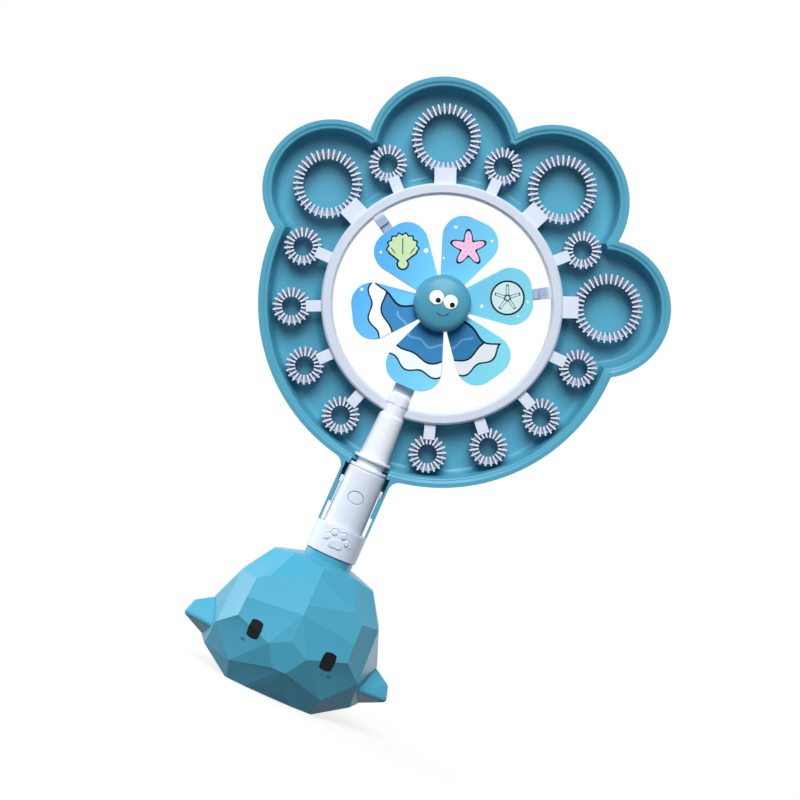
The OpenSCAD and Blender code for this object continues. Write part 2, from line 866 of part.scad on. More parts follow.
module dip_tray() {
  color(teal)
    difference() {
      union() {
        at_hub() {
          slab(0, rim_front - rim_t, rim_front);
          slab(wall_out_off, -tray_floor_back, rim_front - rim_t + bite);
        }
        arm();
        mirror([1, 0, 0]) arm();
        // Floor of the channel between the arms, behind the handle
        box([-arm_reach, floor_front, nub_z - bite], [arm_reach, tray_floor_back, arm_z1]);
      }
      at_hub() {
        difference() {
          slab(rim_w, -floor_front, rim_front + over);
          inner_wall();
        }
        drum(inner_wall_in_r, -tray_floor_back - over, rim_front + over);
        slab(bead_w, rim_front - bead_h, rim_front + over);
      }
      // U notch for the stem's neck groove
      drum(groove_r + run_gap, notch_z0, notch_z1);
      box([-groove_r - run_gap, -rim_front - over, notch_z0], [groove_r + run_gap, 0, notch_z1]);
      // Gap in the rim for the collar and the flange
      box([-collar_r - run_gap, -rim_front - over, notch_z0],
          [collar_r + run_gap, -rim_front + rim_t + bite, notch_z1]);
      // Notch in the inner wall for the cable duct
      box([-duct_block_w / 2 - 2 * run_gap, 0, hub_z - inner_wall_out_r - run_gap],
          [duct_block_w / 2 + 2 * run_gap, spoke_back + 2 * run_gap, hub_z - inner_wall_in_r + over]);
    }
}

// Corners of the whale's facets in the front right quarter, as shares of half width, half depth and height
brow = [[0, -0.49, 0.955], [0.37, -0.32, 0.973], [0.61, -0.16, 0.938], [0.61, 0, 0.938]];
head = [[0, -0.64, 0.897], [0.515, -0.66, 0.773], [0.645, -0.64, 0.72], [0.84, -0.37, 0.716],
        [0.84, 0, 0.716]];
face = [[0, -0.90, 0.703], [0, -0.96, 0.632], [0.655, -0.75, 0.58], [0.665, -0.77, 0.443], [0, -1, 0.434],
        [0.23, -0.985, 0.362]];
cheek = [[0.867, -0.50, 0.325], [1, 0, 0.467], [0.97, 0, 0.175], [0.895, -0.22, 0.138]];
chin = [[0.08, -0.93, 0.214], [0, -0.94, 0.214], [0.56, -0.64, 0.125], [0, -0.82, 0.138]];
foot = [[0, -0.56, 0], [0.305, -0.54, 0], [0.5, -0.46, 0], [0.52, -0.22, 0], [0.52, 0, 0], [0, 0, 0]];
facet_shares = concat(brow, head, face, cheek, chin, foot);
// Facets as numbers of those corners, then of the corners round the neck, 29 to 32
facets = [
  [29, 30, 1, 0], [30, 2, 1], [30, 31, 2], [31, 3, 2], [0, 1, 5, 4], [1, 2, 7, 6, 5], [2, 3, 8, 7],
  [4, 5, 9], [9, 5, 6, 11, 10], [10, 11, 12, 14, 13], [13, 14, 19, 20], [14, 12, 15, 21, 19],
  [6, 7, 15, 12, 11], [20, 19, 21, 25, 24, 22], [22, 24, 23], [21, 15, 18, 25], [7, 8, 16], [7, 16, 15],
  [15, 16, 17], [15, 17, 18], [25, 18, 26], [18, 17, 27, 26], [28, 23, 24, 25, 26, 27], [32, 31, 30, 29]
];
neck_foot_w = 1.6;
neck_ring_r = collar_neck_r + neck_foot_w;
foot_drop = 1;
// Corners of a fin, as shares of its reach from the root, of half depth and of height
fin_root_in = 5;
fin_ball_r = 1;
fin_shares = [[0, 0.04, 0.469], [0, -0.285, 0.282], [0, 0.04, 0.175], [0, 0.327, 0.305],
              [0.84, 0, 0.367], [0.95, -0.08, 0.269], [0.92, 0.1, 0.294]];

// Corners of one quarter for a body drawn in by a wall, with the base dropped below the cut
function quarter(wall, sx, sy, base) = [
  for (p = concat(
    [for (s = facet_shares) [
      s[0] * (whale_half_w - wall), s[1] * (whale_half_d - wall),
      s[2] > 0 ? whale_h / 2 + (s[2] - 0.5) * (whale_h - 2 * wall) : base
    ]],
    [for (a = [270, 315, 360]) [neck_ring_r * cos(a), neck_ring_r * sin(a), whale_h - wall]],
    [[0, 0, whale_h - wall]]
  )) [sx * p[0], sy * p[1], p[2]]
];

// Closed faceted body, made of four mirrored quarters
module whale_solid(wall) {
  count = len(facet_shares) + 4;
  signs = [[1, 1], [-1, 1], [-1, -1], [1, -1]];
  polyhedron(
    points = [for (s = signs) each quarter(wall, s[0], s[1], wall > 0 ? wall : -foot_drop)],
    faces = [for (q = [0:3]) for (f = facets) for (i = [1:len(f) - 2])
      let (turned = signs[q][0] * signs[q][1] < 0)
      [for (c = turned ? [f[0], f[i + 1], f[i]] : [f[0], f[i], f[i + 1]]) q * count + c]]
  );
}

// Fin on the right side
module fin() {
  hull()
    for (p = fin_shares)
      translate([whale_half_w - fin_root_in + p[0] * (fin_root_in + fin_reach),
                 p[1] * whale_half_d, p[2] * whale_h])
        sphere(r = fin_ball_r, $fn = 12);
}

module whale_bottle() {
  neck_z1 = bay_z0 - partition_t - seal_t - run_gap;
  color(teal)
    difference() {
      union() {
        whale_solid(0);
        fin();
        mirror([1, 0, 0]) fin();
        drum(collar_neck_r, whale_h - bite, cap_z0 - run_gap);
        drum(neck_r, whale_h, neck_z1);
      }
      whale_solid(bottle_wall);
      drum(neck_bore_r, whale_h - 2 * bottle_wall, neck_z1 + over);
      box([-whale_half_w, -whale_half_d, -2 * foot_drop], [whale_half_w, whale_half_d, 0]);
    }
}

wheel_frame();
large_hoops();
small_hoops();
motor_can();
motor_end_bell();
motor_cover();
motor_cover_screws();
motor_leads();
stem();
handle_barrel();
switch_board();
tact_switch();
battery_cells();
cell_contacts();
bridge_contact();
bottle_cap();
cap_lock_screw();
cap_seal();
petal_rotor();
hub_cap();
motor_shaft();
power_button();
dip_tray();
whale_bottle();
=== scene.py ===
"""Looks of a windmill bubble wand in its paw-shaped dip tray, standing on a whale-shaped bottle."""

import logging
import math
from contextlib import contextmanager
from dataclasses import dataclass
from enum import Enum
from typing import Any, Callable, Iterator, Optional, Sequence, Union

import bmesh
import bpy
from mathutils import Matrix, Vector


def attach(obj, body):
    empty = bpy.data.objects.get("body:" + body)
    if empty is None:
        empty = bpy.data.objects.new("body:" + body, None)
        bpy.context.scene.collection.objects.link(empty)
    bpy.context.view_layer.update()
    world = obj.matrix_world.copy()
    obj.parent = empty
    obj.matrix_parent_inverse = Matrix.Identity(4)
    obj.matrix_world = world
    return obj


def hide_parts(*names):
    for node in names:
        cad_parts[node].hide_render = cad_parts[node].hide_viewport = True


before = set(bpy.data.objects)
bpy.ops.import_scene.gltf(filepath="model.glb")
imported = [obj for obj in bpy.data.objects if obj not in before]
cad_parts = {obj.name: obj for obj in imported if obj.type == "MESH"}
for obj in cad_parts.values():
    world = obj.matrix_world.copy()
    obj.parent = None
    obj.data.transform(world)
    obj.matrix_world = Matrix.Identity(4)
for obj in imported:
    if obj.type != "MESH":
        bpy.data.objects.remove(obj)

LOG = logging.getLogger("bubble_wand")
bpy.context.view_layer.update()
MM = 0.001
HUB_Z = 263.0  # height of the wheel's axis in millimetres
SHARP = 50.0  # degrees past which an edge is a corner
FACE_ON = (math.pi / 2, 0.0, 0.0)  # turn that stands a flat primitive up, in the plane of the wheel
SIDES = ("left", "right")
Colour = tuple[float, float, float, float]
Spot = tuple[float, float]
Point = tuple[float, float, float]
Piece = bpy.types.Object


class Body(Enum):
    """Moving groups of the toy."""

    WAND = "wand"
    WINDMILL = "windmill"
    BUTTON = "button"
    TRAY = "tray"
    BOTTLE = "bottle"


class Slot(Enum):
    """Material slots of the record, one listed for each new piece."""

    BAND = "band_plastic"
    HOOP = "hoop_plastic"
    HANDLE = "handle_plastic"
    BLACK = "black_plastic"
    SCREW = "screw_steel"
    PETAL = "petal_print"
    HUB = "hub_plastic"
    TRAY = "tray_plastic"
    BOTTLE = "bottle_plastic"


def srgb(red: float, green: float, blue: float) -> Colour:
    """Turns a display colour into the linear colour that shaders take.

    Args:
        red: red from 0 to 255.
        green: green from 0 to 255.
        blue: blue from 0 to 255.

    Returns:
        The linear colour, opaque.
    """

    def linear(level: float) -> float:
        """Linear value of one display level."""
        share = level / 255.0
        return share / 12.92 if share <= 0.04045 else ((share + 0.055) / 1.055) ** 2.4

    return (linear(red), linear(green), linear(blue), 1.0)


def tint(colour: Colour, share: float, lift: float = 0.0) -> Colour:
    """Lighter or darker form of a linear colour."""
    return tuple(min(1.0, level * share + lift) for level in colour[:3]) + (1.0,)


INK = srgb(16, 24, 34)
WHITE = srgb(255, 255, 255)


def math_operator(operation: str, swapped: bool = False) -> Callable[..., "Sock"]:
    """Makes a method of Sock that adds one Math node.

    Args:
        operation: Blender's name of the operation.
        swapped: whether the other term comes first.

    Returns:
        The method.
    """

    def operate(sock: "Sock", other: Optional["Term"] = None) -> "Sock":
        """Result of the operation, with another term where it takes one."""
        return sock.shader.math(operation, *((other, sock) if swapped else (sock, other)))

    return operate


class Sock:
    """Output of a shader node that takes part in arithmetic.

    On distance fields, & gives what two shapes share and | gives both together.
    """

    def __init__(self, shader: "Shader", socket: bpy.types.NodeSocket) -> None:
        """Keeps the shader that the socket belongs to."""
        self.shader = shader
        self.socket = socket

    __add__ = math_operator("ADD")
    __radd__ = math_operator("ADD", swapped=True)
    __sub__ = math_operator("SUBTRACT")
    __rsub__ = math_operator("SUBTRACT", swapped=True)
    __mul__ = math_operator("MULTIPLY")
    __rmul__ = math_operator("MULTIPLY", swapped=True)
    __truediv__ = math_operator("DIVIDE")
    __abs__ = math_operator("ABSOLUTE")
    __and__ = math_operator("MAXIMUM")
    __or__ = math_operator("MINIMUM")
    sine = math_operator("SINE")
    cosine = math_operator("COSINE")
    root = math_operator("SQRT")


Term = Union[Sock, float, int]


class Shader:
    """Node tree of a material or of the world, built from Python expressions."""

    def __init__(self, owner: Union[bpy.types.Material, bpy.types.World]) -> None:
        """Opens the nodes of a material or a world.

        Args:
            owner: the material or the world.
        """
        owner.use_nodes = True
        self.tree = owner.node_tree
        self.surface = self.tree.nodes.get("Principled BSDF")

    def add(
        self,
        kind: str,
        settings: Optional[dict[str, Any]] = None,
        inputs: Optional[dict[Union[str, int], Any]] = None,
    ) -> bpy.types.Node:
        """Adds a node.

        Args:
            kind: the node's type.
            settings: properties to set first.
            inputs: values or sockets for its inputs, by name or number.

        Returns:
            The new node.
        """
        node = self.tree.nodes.new(kind)
        for key, value in (settings or {}).items():
            setattr(node, key, value)
        for key, value in (inputs or {}).items():
            self.feed(node.inputs[key], value)
        return node

    def feed(self, socket: bpy.types.NodeSocket, value: Any) -> None:
        """Links or sets one input.

        Args:
            socket: the input.
            value: a Sock to link, a value to set, or None to leave it.
        """
        if isinstance(value, Sock):
            self.tree.links.new(value.socket, socket)
        elif value is not None:
            socket.default_value = value

    def out(self, node: bpy.types.Node, key: Union[str, int] = 0) -> Sock:
        """Wraps one output of a node."""
        return Sock(self, node.outputs[key])

    def math(self, operation: str, first: Term, second: Optional[Term] = None) -> Sock:
        """Result of one new Math node."""
        return self.out(self.add("ShaderNodeMath", {"operation": operation}, {0: first, 1: second}))

    def mix(self, share: Term, under: Any, over: Any) -> Sock:
        """Colour that shows a share of the upper colour over the lower one."""
        inputs = {0: share, 6: under, 7: over}
        return self.out(self.add("ShaderNodeMix", {"data_type": "RGBA"}, inputs), 2)

    def blend(self, share: Sock, under: Sock, over: Sock) -> Sock:
        """Surface or background that shows a share of the upper one over the lower one."""
        return self.out(self.add("ShaderNodeMixShader", None, {0: share, 1: under, 2: over}))

    def place(self) -> Sock:
        """Object coordinates, in metres."""
        return self.out(self.add("ShaderNodeTexCoord"), "Object")

    def axes(self, vector: Sock) -> tuple[Sock, Sock, Sock]:
        """Splits a vector into its three numbers."""
        node = self.add("ShaderNodeSeparateXYZ", None, {0: vector})
        return self.out(node, 0), self.out(node, 1), self.out(node, 2)

    def noise(self, vector: Sock, scale: float, detail: float = 2.0) -> Sock:
        """Soft noise from 0 to 1."""
        inputs = {"Vector": vector, "Scale": scale, "Detail": detail}
        return self.out(self.add("ShaderNodeTexNoise", None, inputs))

    def bump(self, height: Sock, depth: float) -> Sock:
        """Normal of a small relief whose depth is given in metres."""
        inputs = {"Strength": 1.0, "Distance": depth, "Height": height}
        return self.out(self.add("ShaderNodeBump", None, inputs))

    def mask(self, field: Sock, soft: float) -> Sock:
        """Share that is inside a distance field.

        Args:
            field: signed distance, negative inside.
            soft: width of the soft edge.

        Returns:
            One inside and nought outside.
        """
        settings = {"interpolation_type": "SMOOTHSTEP"}
        inputs = {0: field, 1: -soft, 2: soft, 3: 1.0, 4: 0.0}
        return self.out(self.add("ShaderNodeMapRange", settings, inputs))

    def seen(self) -> Sock:
        """Marks the rays that show the white background.

        Returns:
            One for rays of the camera, of reflections and through clear things, nought for others.
        """
        rays = self.add("ShaderNodeLightPath")
        kinds = ("Is Camera Ray", "Is Glossy Ray", "Is Transmission Ray")
        camera, glossy, clear = (self.out(rays, kind) for kind in kinds)
        return (camera & glossy) & clear

    def set(self, **values: Any) -> None:
        """Feeds the surface; underscores in the names stand for spaces."""
        for key, value in values.items():
            self.feed(self.surface.inputs[key.replace("_", " ")], value)


@dataclass(frozen=True)
class Finish:
    """Finish of a surface, which makes its material once."""

    name: str
    colour: Colour

    def material(self) -> bpy.types.Material:
        """Makes the material on first use.

        Returns:
            The material of this finish.
        """
        found = bpy.data.materials.get(self.name)
        if found is None:
            found = bpy.data.materials.new(self.name)
            self.dress(Shader(found))
        return found

    def dress(self, shader: Shader) -> None:
        """Builds the material's nodes."""
        raise NotImplementedError


@dataclass(frozen=True)
class MouldedPlastic(Finish):
    """Moulded plastic with a fine grain, faint flow marks and a little gloss.

    Fields give roughness, share of colour change, scales of the flow marks and of the fine and
    finest grain with their shares in colour, roughness and relief, strength of the shine, clear
    gloss on top and how far light glows through. The inner colour is painted shade on what lies
    inside a radius of the hub, either above it or in the motor pot, standing in for the shade that
    the band and the petals cast on the spokes and the pot. The deep colour is painted shade on what
    lies past a depth, the hoops' cores sunk between their ribs. Radii, depths and soft edges are
    millimetres.
    """

    rough: float = 0.32
    mottle: float = 0.06
    flow_scale: float = 22.0
    flow_share: float = 0.7
    flow_rough: float = 0.08
    fine_scale: float = 240.0
    fine_rough: float = 0.06
    grain_scale: float = 1500.0
    grain_share: float = 0.8
    grain_depth: float = 0.012
    shine: float = 0.3
    gloss: float = 0.0
    glow: float = 0.0
    inner: Optional[Colour] = None
    painted_shade_r: float = 0.0
    painted_shade_soft: float = 1.5
    pot_r: float = 20.0
    deep: Optional[Colour] = None
    painted_recess_y: float = 0.0
    painted_recess_soft: float = 0.5

    def dress(self, shader: Shader) -> None:
        """Builds the grain, the flow marks and the painted shade of the inner and the deep parts.

        Args:
            shader: nodes of the plastic.
        """
        place = shader.place()
        flow = shader.noise(place, self.flow_scale, 3.0)
        grain = shader.noise(place, self.grain_scale)
        fine = shader.noise(place, self.fine_scale)
        dark, light = tint(self.colour, 1.0 - self.mottle), tint(self.colour, 1.0 + self.mottle)
        colour = shader.mix(flow * self.flow_share + fine * (1.0 - self.flow_share), dark, light)
        # Painted shade: the upper spokes and the motor pot take the darker inner colour.
        if self.inner:
            x, _, z = shader.axes(place)
            up = z - HUB_Z * MM
            reach = (x * x + up * up).root()
            painted_shade_field = (reach - self.painted_shade_r * MM) & ((0.0 - up) | (reach - self.pot_r * MM))
            colour = shader.mix(shader.mask(painted_shade_field, self.painted_shade_soft * MM), colour, self.inner)
        # Painted shade: what lies past the depth, the hoops' cores sunk between their ribs, takes
        # the darker deep colour.
        if self.deep:
            _, depth, _ = shader.axes(place)
            painted_recess_share = shader.mask(self.painted_recess_y * MM - depth, self.painted_recess_soft * MM)
            colour = shader.mix(painted_recess_share, colour, self.deep)
        relief = grain * self.grain_share + fine * (1.0 - self.grain_share)
        shader.set(
            Base_Color=colour,
            Roughness=self.rough + (flow - 0.5) * self.flow_rough + (fine - 0.5) * self.fine_rough,
            Normal=shader.bump(relief, self.grain_depth * MM),
            Specular_IOR_Level=self.shine,
            Coat_Weight=self.gloss,
            Coat_Roughness=0.12,
            Subsurface_Weight=self.glow,
            Subsurface_Radius=(0.9, 0.95, 1.0),
            Subsurface_Scale=2.0 * MM,
        )


@dataclass(frozen=True)
class Ink(Finish):
    """Enamel with a faint grain; fields give roughness, shine, pale clouds and grain sizes."""

    rough: float = 0.22
    shine: float = 0.4
    cloud_scale: float = 120.0
    cloud_pale: float = 1.15
    cloud_lift: float = 0.004
    cloud_rough: float = 0.1
    grain_scale: float = 1800.0
    grain_depth: float = 0.006

    def dress(self, shader: Shader) -> None:
        """Builds the cloudy colour and the grain.

        Args:
            shader: nodes of the enamel.
        """
        place = shader.place()
        cloud = shader.noise(place, self.cloud_scale, 3.0)
        pale = tint(self.colour, self.cloud_pale, self.cloud_lift)
        shader.set(
            Base_Color=shader.mix(cloud, self.colour, pale),
            Roughness=self.rough + (cloud - 0.5) * self.cloud_rough,
            Normal=shader.bump(shader.noise(place, self.grain_scale), self.grain_depth * MM),
            Specular_IOR_Level=self.shine,
        )


@dataclass(frozen=True)
class PlatedMetal(Finish):
    """Plated metal with turning marks; fields give roughness, dullness and the marks' sizes."""

    rough: float = 0.28
    cloud_scale: float = 160.0
    cloud_dull: float = 0.8
    mark_scale: float = 2400.0
    mark_rough: float = 0.18
    mark_depth: float = 0.01

    def dress(self, shader: Shader) -> None:
        """Builds the dull clouds and the turning marks.

        Args:
            shader: nodes of the metal.
        """
        place = shader.place()
        cloud = shader.noise(place, self.cloud_scale, 4.0)
        marks = shader.noise(place, self.mark_scale, 3.0)
        shader.set(
            Base_Color=shader.mix(cloud, tint(self.colour, self.cloud_dull), self.colour),
            Metallic=1.0,
            Roughness=self.rough + (marks - 0.5) * self.mark_rough,
            Normal=shader.bump(marks, self.mark_depth * MM),
        )


@dataclass(frozen=True)
class Ripple:
    """Ring with a rippled edge: its radius, its ripples' height, number and phase, its middle."""

    radius: float
    height: float
    count: float
    phase: float = 0.0
    middle: Spot = (0.0, 0.0)


@dataclass(frozen=True)
class Page:
    """Plane of a print, in millimetres to the right of the hub and above it."""

    shader: Shader
    x: Sock
    z: Sock
    line_w: float = 0.55
    soft: float = 0.16

    def away(self, middle: Spot) -> Sock:
        """Distance from a point."""
        across, up = self.x - middle[0], self.z - middle[1]
        return (across * across + up * up).root()

    def bearing(self, middle: Spot) -> Sock:
        """Direction from a point, in radians."""
        return self.shader.math("ARCTAN2", self.z - middle[1], self.x - middle[0])

    def polar(self, middle: Spot, start: float) -> tuple[Sock, Sock]:
        """Distance from a point, and direction from it in radians past a start."""
        return self.away(middle), self.bearing(middle) - start

    def beyond(self, ring: Ripple) -> Sock:
        """Distance outside a rippled ring."""
        wave = (self.bearing(ring.middle) * ring.count + ring.phase).cosine()
        return self.away(ring.middle) - ring.radius - ring.height * wave

    def fill(self, under: Sock, field: Sock, colour: Colour) -> Sock:
        """Colour so far with a shape painted over it, which is given by its distance field."""
        return self.shader.mix(self.shader.mask(field, self.soft), under, colour)

    def draw(self, under: Sock, field: Sock, colour: Colour) -> Sock:
        """Colour so far with a shape and its ink outline painted over it."""
        return self.fill(self.fill(under, field, colour), abs(field) - self.line_w, INK)


@dataclass(frozen=True)
class PrintedPetal(Finish):
    """Sheet with a printed sea on its front: a wave, two shells, a starfish and bubbles.

    The print is drawn in the plane of the wheel, in millimetres from the hub. Its rolls give the
    height, pace and start of the wave's crest, and its bubbles their place and radius.
    """

    right_colour: Colour = srgb(146, 240, 255)
    half_w: float = 56.0
    rough: float = 0.6
    paper_rough: float = 0.1
    paper_share: float = 0.05
    upright: float = math.radians(114.0)
    paper_scale: float = 60.0
    grain_scale: float = 1300.0
    grain_depth: float = 0.008
    crest_z: float = -6.0
    rolls: tuple[Point, ...] = ((4.5, 0.105, 0.9), (1.0, 0.33, 0.0))
    foam: Ripple = Ripple(45.0, 1.6, 15.0)
    foam_colour: Colour = srgb(240, 248, 255)
    sea: Ripple = Ripple(36.5, 1.4, 10.0, 1.0)
    sea_sunk: float = 0.4
    sea_colour: Colour = srgb(56, 132, 186)
    swell: Ripple = Ripple(27.0, 1.3, 12.0, -math.pi / 2)
    swell_w: float = 0.7
    swell_sunk: float = 4.0
    swell_colour: Colour = srgb(104, 168, 216)
    scallop_edge: Ripple = Ripple(9.4, 0.6, 14.0, 0.0, (-36.0, 21.0))
    scallop_colour: Colour = srgb(196, 224, 178)
    hinge: Spot = (-32.2, 12.4)
    hinge_r: float = 3.4
    fan_half: float = 0.9
    ribs: float = 5.0
    rib_slope: float = 0.2
    rib_w: float = 0.3
    rib_from: float = 6.0
    rib_margin: float = 2.2
    star_at: Spot = (0.8, 38.0)
    star_r: float = 7.6
    star_arms: float = 5.0
    arm_length: float = 3.0
    arm_point: float = 0.5
    star_even: float = 0.75
    star_colour: Colour = srgb(252, 204, 238)
    dot_pace: float = 1.1
    dot_scale: float = 1.4
    dot_w: float = 0.5
    spine_w: float = 0.9
    spine_to: float = 9.4
    spine_colour: Colour = srgb(226, 140, 196)
    urchin_at: Spot = (35.4, 19.6)
    urchin_r: float = 10.2
    urchin_colour: Colour = srgb(226, 252, 255)
    leaves: float = 5.0
    leaf_w: float = 1.8
    leaf_from: float = 1.6
    leaf_to: float = 7.8
    leaf_line: float = 0.4
    leaf_colour: Colour = srgb(40, 70, 90)
    bubbles: tuple[Point, ...] = (
        (-22.5, 26.0, 1.4), (13.5, 25.5, 1.1), (-11.5, 46.5, 1.0), (12.5, 48.0, 0.8),
        (48.0, 22.5, 0.9), (23.0, 8.5, 1.1), (-47.5, 13.5, 0.8), (46.0, 12.0, 0.7),
        (-10.5, 26.0, 0.7), (-49.0, -12.0, 0.9),
    )

    def dress(self, shader: Shader) -> None:
        """Prints the front over a slope of two colours, and leaves the back plain.

        Args:
            shader: nodes of the sheet.
        """
        place = shader.place()
        x, _, z = shader.axes(place)
        page = Page(shader, x * (1.0 / MM), z * (1.0 / MM) - HUB_Z)
        paper = shader.noise(place, self.paper_scale, 3.0)
        slope = (page.x + self.half_w) / (2.0 * self.half_w) + (paper - 0.5) * self.paper_share
        colour = shader.mix(slope, self.colour, self.right_colour)
        for motif in (self.wave, self.scallop, self.starfish, self.urchin):
            colour = motif(page, colour)
        for across, up, radius in self.bubbles:
            colour = page.fill(colour, page.away((across, up)) - radius, WHITE)
        normal = shader.out(shader.add("ShaderNodeNewGeometry"), "Normal")
        _, facing, _ = shader.axes(normal)
        shader.set(
            Base_Color=shader.mix(shader.mask(facing + 0.5, 0.2), self.right_colour, colour),
            Roughness=self.rough + (paper - 0.5) * self.paper_rough,
            Normal=shader.bump(shader.noise(place, self.grain_scale), self.grain_depth * MM),
            Specular_IOR_Level=0.1,
        )

    def wave(self, page: Page, under: Sock) -> Sock:
        """Draws a rolling sea round the hub on the lower petals, with a white rippled edge.

        Args:
            page: plane of the print.
            under: colour so far.

        Returns:
            The new colour.
        """
        crest = page.z - self.crest_z
        for height, pace, start in self.rolls:
            crest = crest - height * (page.x * pace + start).sine()
        colour = page.draw(under, crest & page.beyond(self.foam), self.foam_colour)
        sea = (crest + self.sea_sunk) & page.beyond(self.sea)
        colour = page.draw(colour, sea, self.sea_colour)
        line = abs(page.beyond(self.swell)) - self.swell_w
        return page.fill(colour, line & (crest + self.swell_sunk), self.swell_colour)

    def scallop(self, page: Page, under: Sock) -> Sock:
        """Draws a pale green scallop shell on the upper left petal.

        Args:
            page: plane of the print.
            under: colour so far.

        Returns:
            The new colour.
        """
        reach, turn = page.polar(self.hinge, self.upright)
        fan = page.beyond(self.scallop_edge) & ((abs(turn) - self.fan_half) * reach)
        colour = page.draw(under, fan | (reach - self.hinge_r), self.scallop_colour)
        rib = abs((turn * self.ribs).sine()) * reach * self.rib_slope - self.rib_w
        return page.fill(colour, (rib & (fan + self.rib_margin)) & (self.rib_from - reach), INK)

    def starfish(self, page: Page, under: Sock) -> Sock:
        """Draws a pink starfish with dotted arms on the top petal.

        Args:
            page: plane of the print.
            under: colour so far.

        Returns:
            The new colour.
        """
        reach, turn = page.polar(self.star_at, self.upright)
        arms = (turn * self.star_arms).cosine()
        edge = reach - self.star_r - self.arm_length * arms - self.arm_point * arms * arms
        colour = page.draw(under, edge * self.star_even, self.star_colour)
        dots = abs((reach * self.dot_pace).sine()) * self.dot_scale - self.dot_w
        spine = abs((turn * (self.star_arms / 2)).sine()) * reach - self.spine_w
        return page.fill(colour, (dots & spine) & (reach - self.spine_to), self.spine_colour)

    def urchin(self, page: Page, under: Sock) -> Sock:
        """Draws a pale round shell with a five-part flower on the upper right petal.

        Args:
            page: plane of the print.
            under: colour so far.

        Returns:
            The new colour.
        """
        reach, turn = page.polar(self.urchin_at, self.upright)
        colour = page.draw(under, reach - self.urchin_r, self.urchin_colour)
        leaf = abs((turn * (self.leaves / 2)).sine()) * reach - self.leaf_w
        leaf = (leaf & (reach - self.leaf_to)) & (self.leaf_from - reach)
        return page.fill(colour, abs(leaf) - self.leaf_line, self.leaf_colour)


TRAY_FINISH = MouldedPlastic(
    "tray teal plastic", srgb(80, 160, 188), rough=0.36, mottle=0.03, shine=0.2, gloss=0.12
)
WHALE_FINISH = MouldedPlastic(
    "bottle teal plastic", srgb(72, 161, 191), rough=0.36, mottle=0.03, shine=0.18, gloss=0.14
)
HUB_FINISH = MouldedPlastic(
    "hub teal plastic", srgb(72, 152, 180), rough=0.38, mottle=0.03, gloss=0.06
)
# Painted shade: the inner colour darkens the upper spokes and the motor pot, standing in for the
# shade of the band and the petals.
BAND_FINISH = MouldedPlastic(
    "band lavender plastic", srgb(208, 217, 233), rough=0.4, mottle=0.02, glow=0.08,
    inner=srgb(160, 178, 204), painted_shade_r=66.0,
)
# Painted shade: the deep colour darkens the hoops' cores, sunk between the ribs, standing in for
# their shade.
HOOP_FINISH = MouldedPlastic(
    "hoop white plastic", srgb(216, 226, 243), rough=0.38, mottle=0.02, glow=0.1,
    deep=srgb(162, 175, 197), painted_recess_y=1.9,
)
HANDLE_FINISH = MouldedPlastic(
    "handle lavender plastic", srgb(216, 225, 240), rough=0.38, mottle=0.02
)
STEM_FINISH = MouldedPlastic(
    "stem frosted plastic", srgb(234, 241, 251), rough=0.3, mottle=0.02, glow=0.15
)
PAW_FINISH = MouldedPlastic(
    "embossed lavender plastic", srgb(216, 225, 240), rough=0.38, mottle=0.02
)
EYE_FINISH = Ink("black eye enamel", srgb(12, 12, 14), rough=0.3, shine=0.12)
LINE_FINISH = Ink("dark line ink", srgb(28, 62, 78), rough=0.3)
WHITE_FINISH = Ink("white eye enamel", srgb(246, 248, 252), rough=0.25)
PETAL_FINISH = PrintedPetal("printed petal sheet", srgb(78, 166, 246))
STEEL_FINISH = PlatedMetal("plated screw steel", srgb(190, 193, 200), rough=0.3)
CAN_FINISH = PlatedMetal("plated motor can", srgb(196, 200, 206), rough=0.35)
BRASS_FINISH = PlatedMetal("bright contact brass", srgb(208, 178, 104), rough=0.25)
BLACK_FINISH = MouldedPlastic("matt black plastic", srgb(36, 37, 40), rough=0.5)
WIRE_FINISH = MouldedPlastic("red wire jacket", srgb(178, 40, 36), rough=0.4)
BOARD_FINISH = MouldedPlastic("green board laminate", srgb(34, 110, 62), rough=0.35, mottle=0.15)
CELL_FINISH = MouldedPlastic("printed cell jacket", srgb(206, 160, 58), rough=0.3, mottle=0.1)
SEAL_FINISH = MouldedPlastic("soft seal rubber", srgb(120, 122, 126), rough=0.7, mottle=0.1)


@dataclass(frozen=True)
class EdgeFacts:
    """What is known of one edge, in millimetres and degrees."""

    middle: Vector
    length: float
    turn: float
    convex: bool
    facing: Vector

    @property
    def hub_r(self) -> float:
        """Distance of the edge's middle from the hub's axis."""
        return math.hypot(self.middle.x, self.middle.z - HUB_Z)


EdgeTest = Callable[[EdgeFacts], bool]


@dataclass(frozen=True)
class Rounding:
    """Round edge: its width in millimetres and the steps across it."""

    width: float
    steps: int = 3


@dataclass(frozen=True)
class Relief:
    """Low pad: its height and the width of its round edge in millimetres, and its corners."""

    height: float
    round_w: float
    corners: int = 48


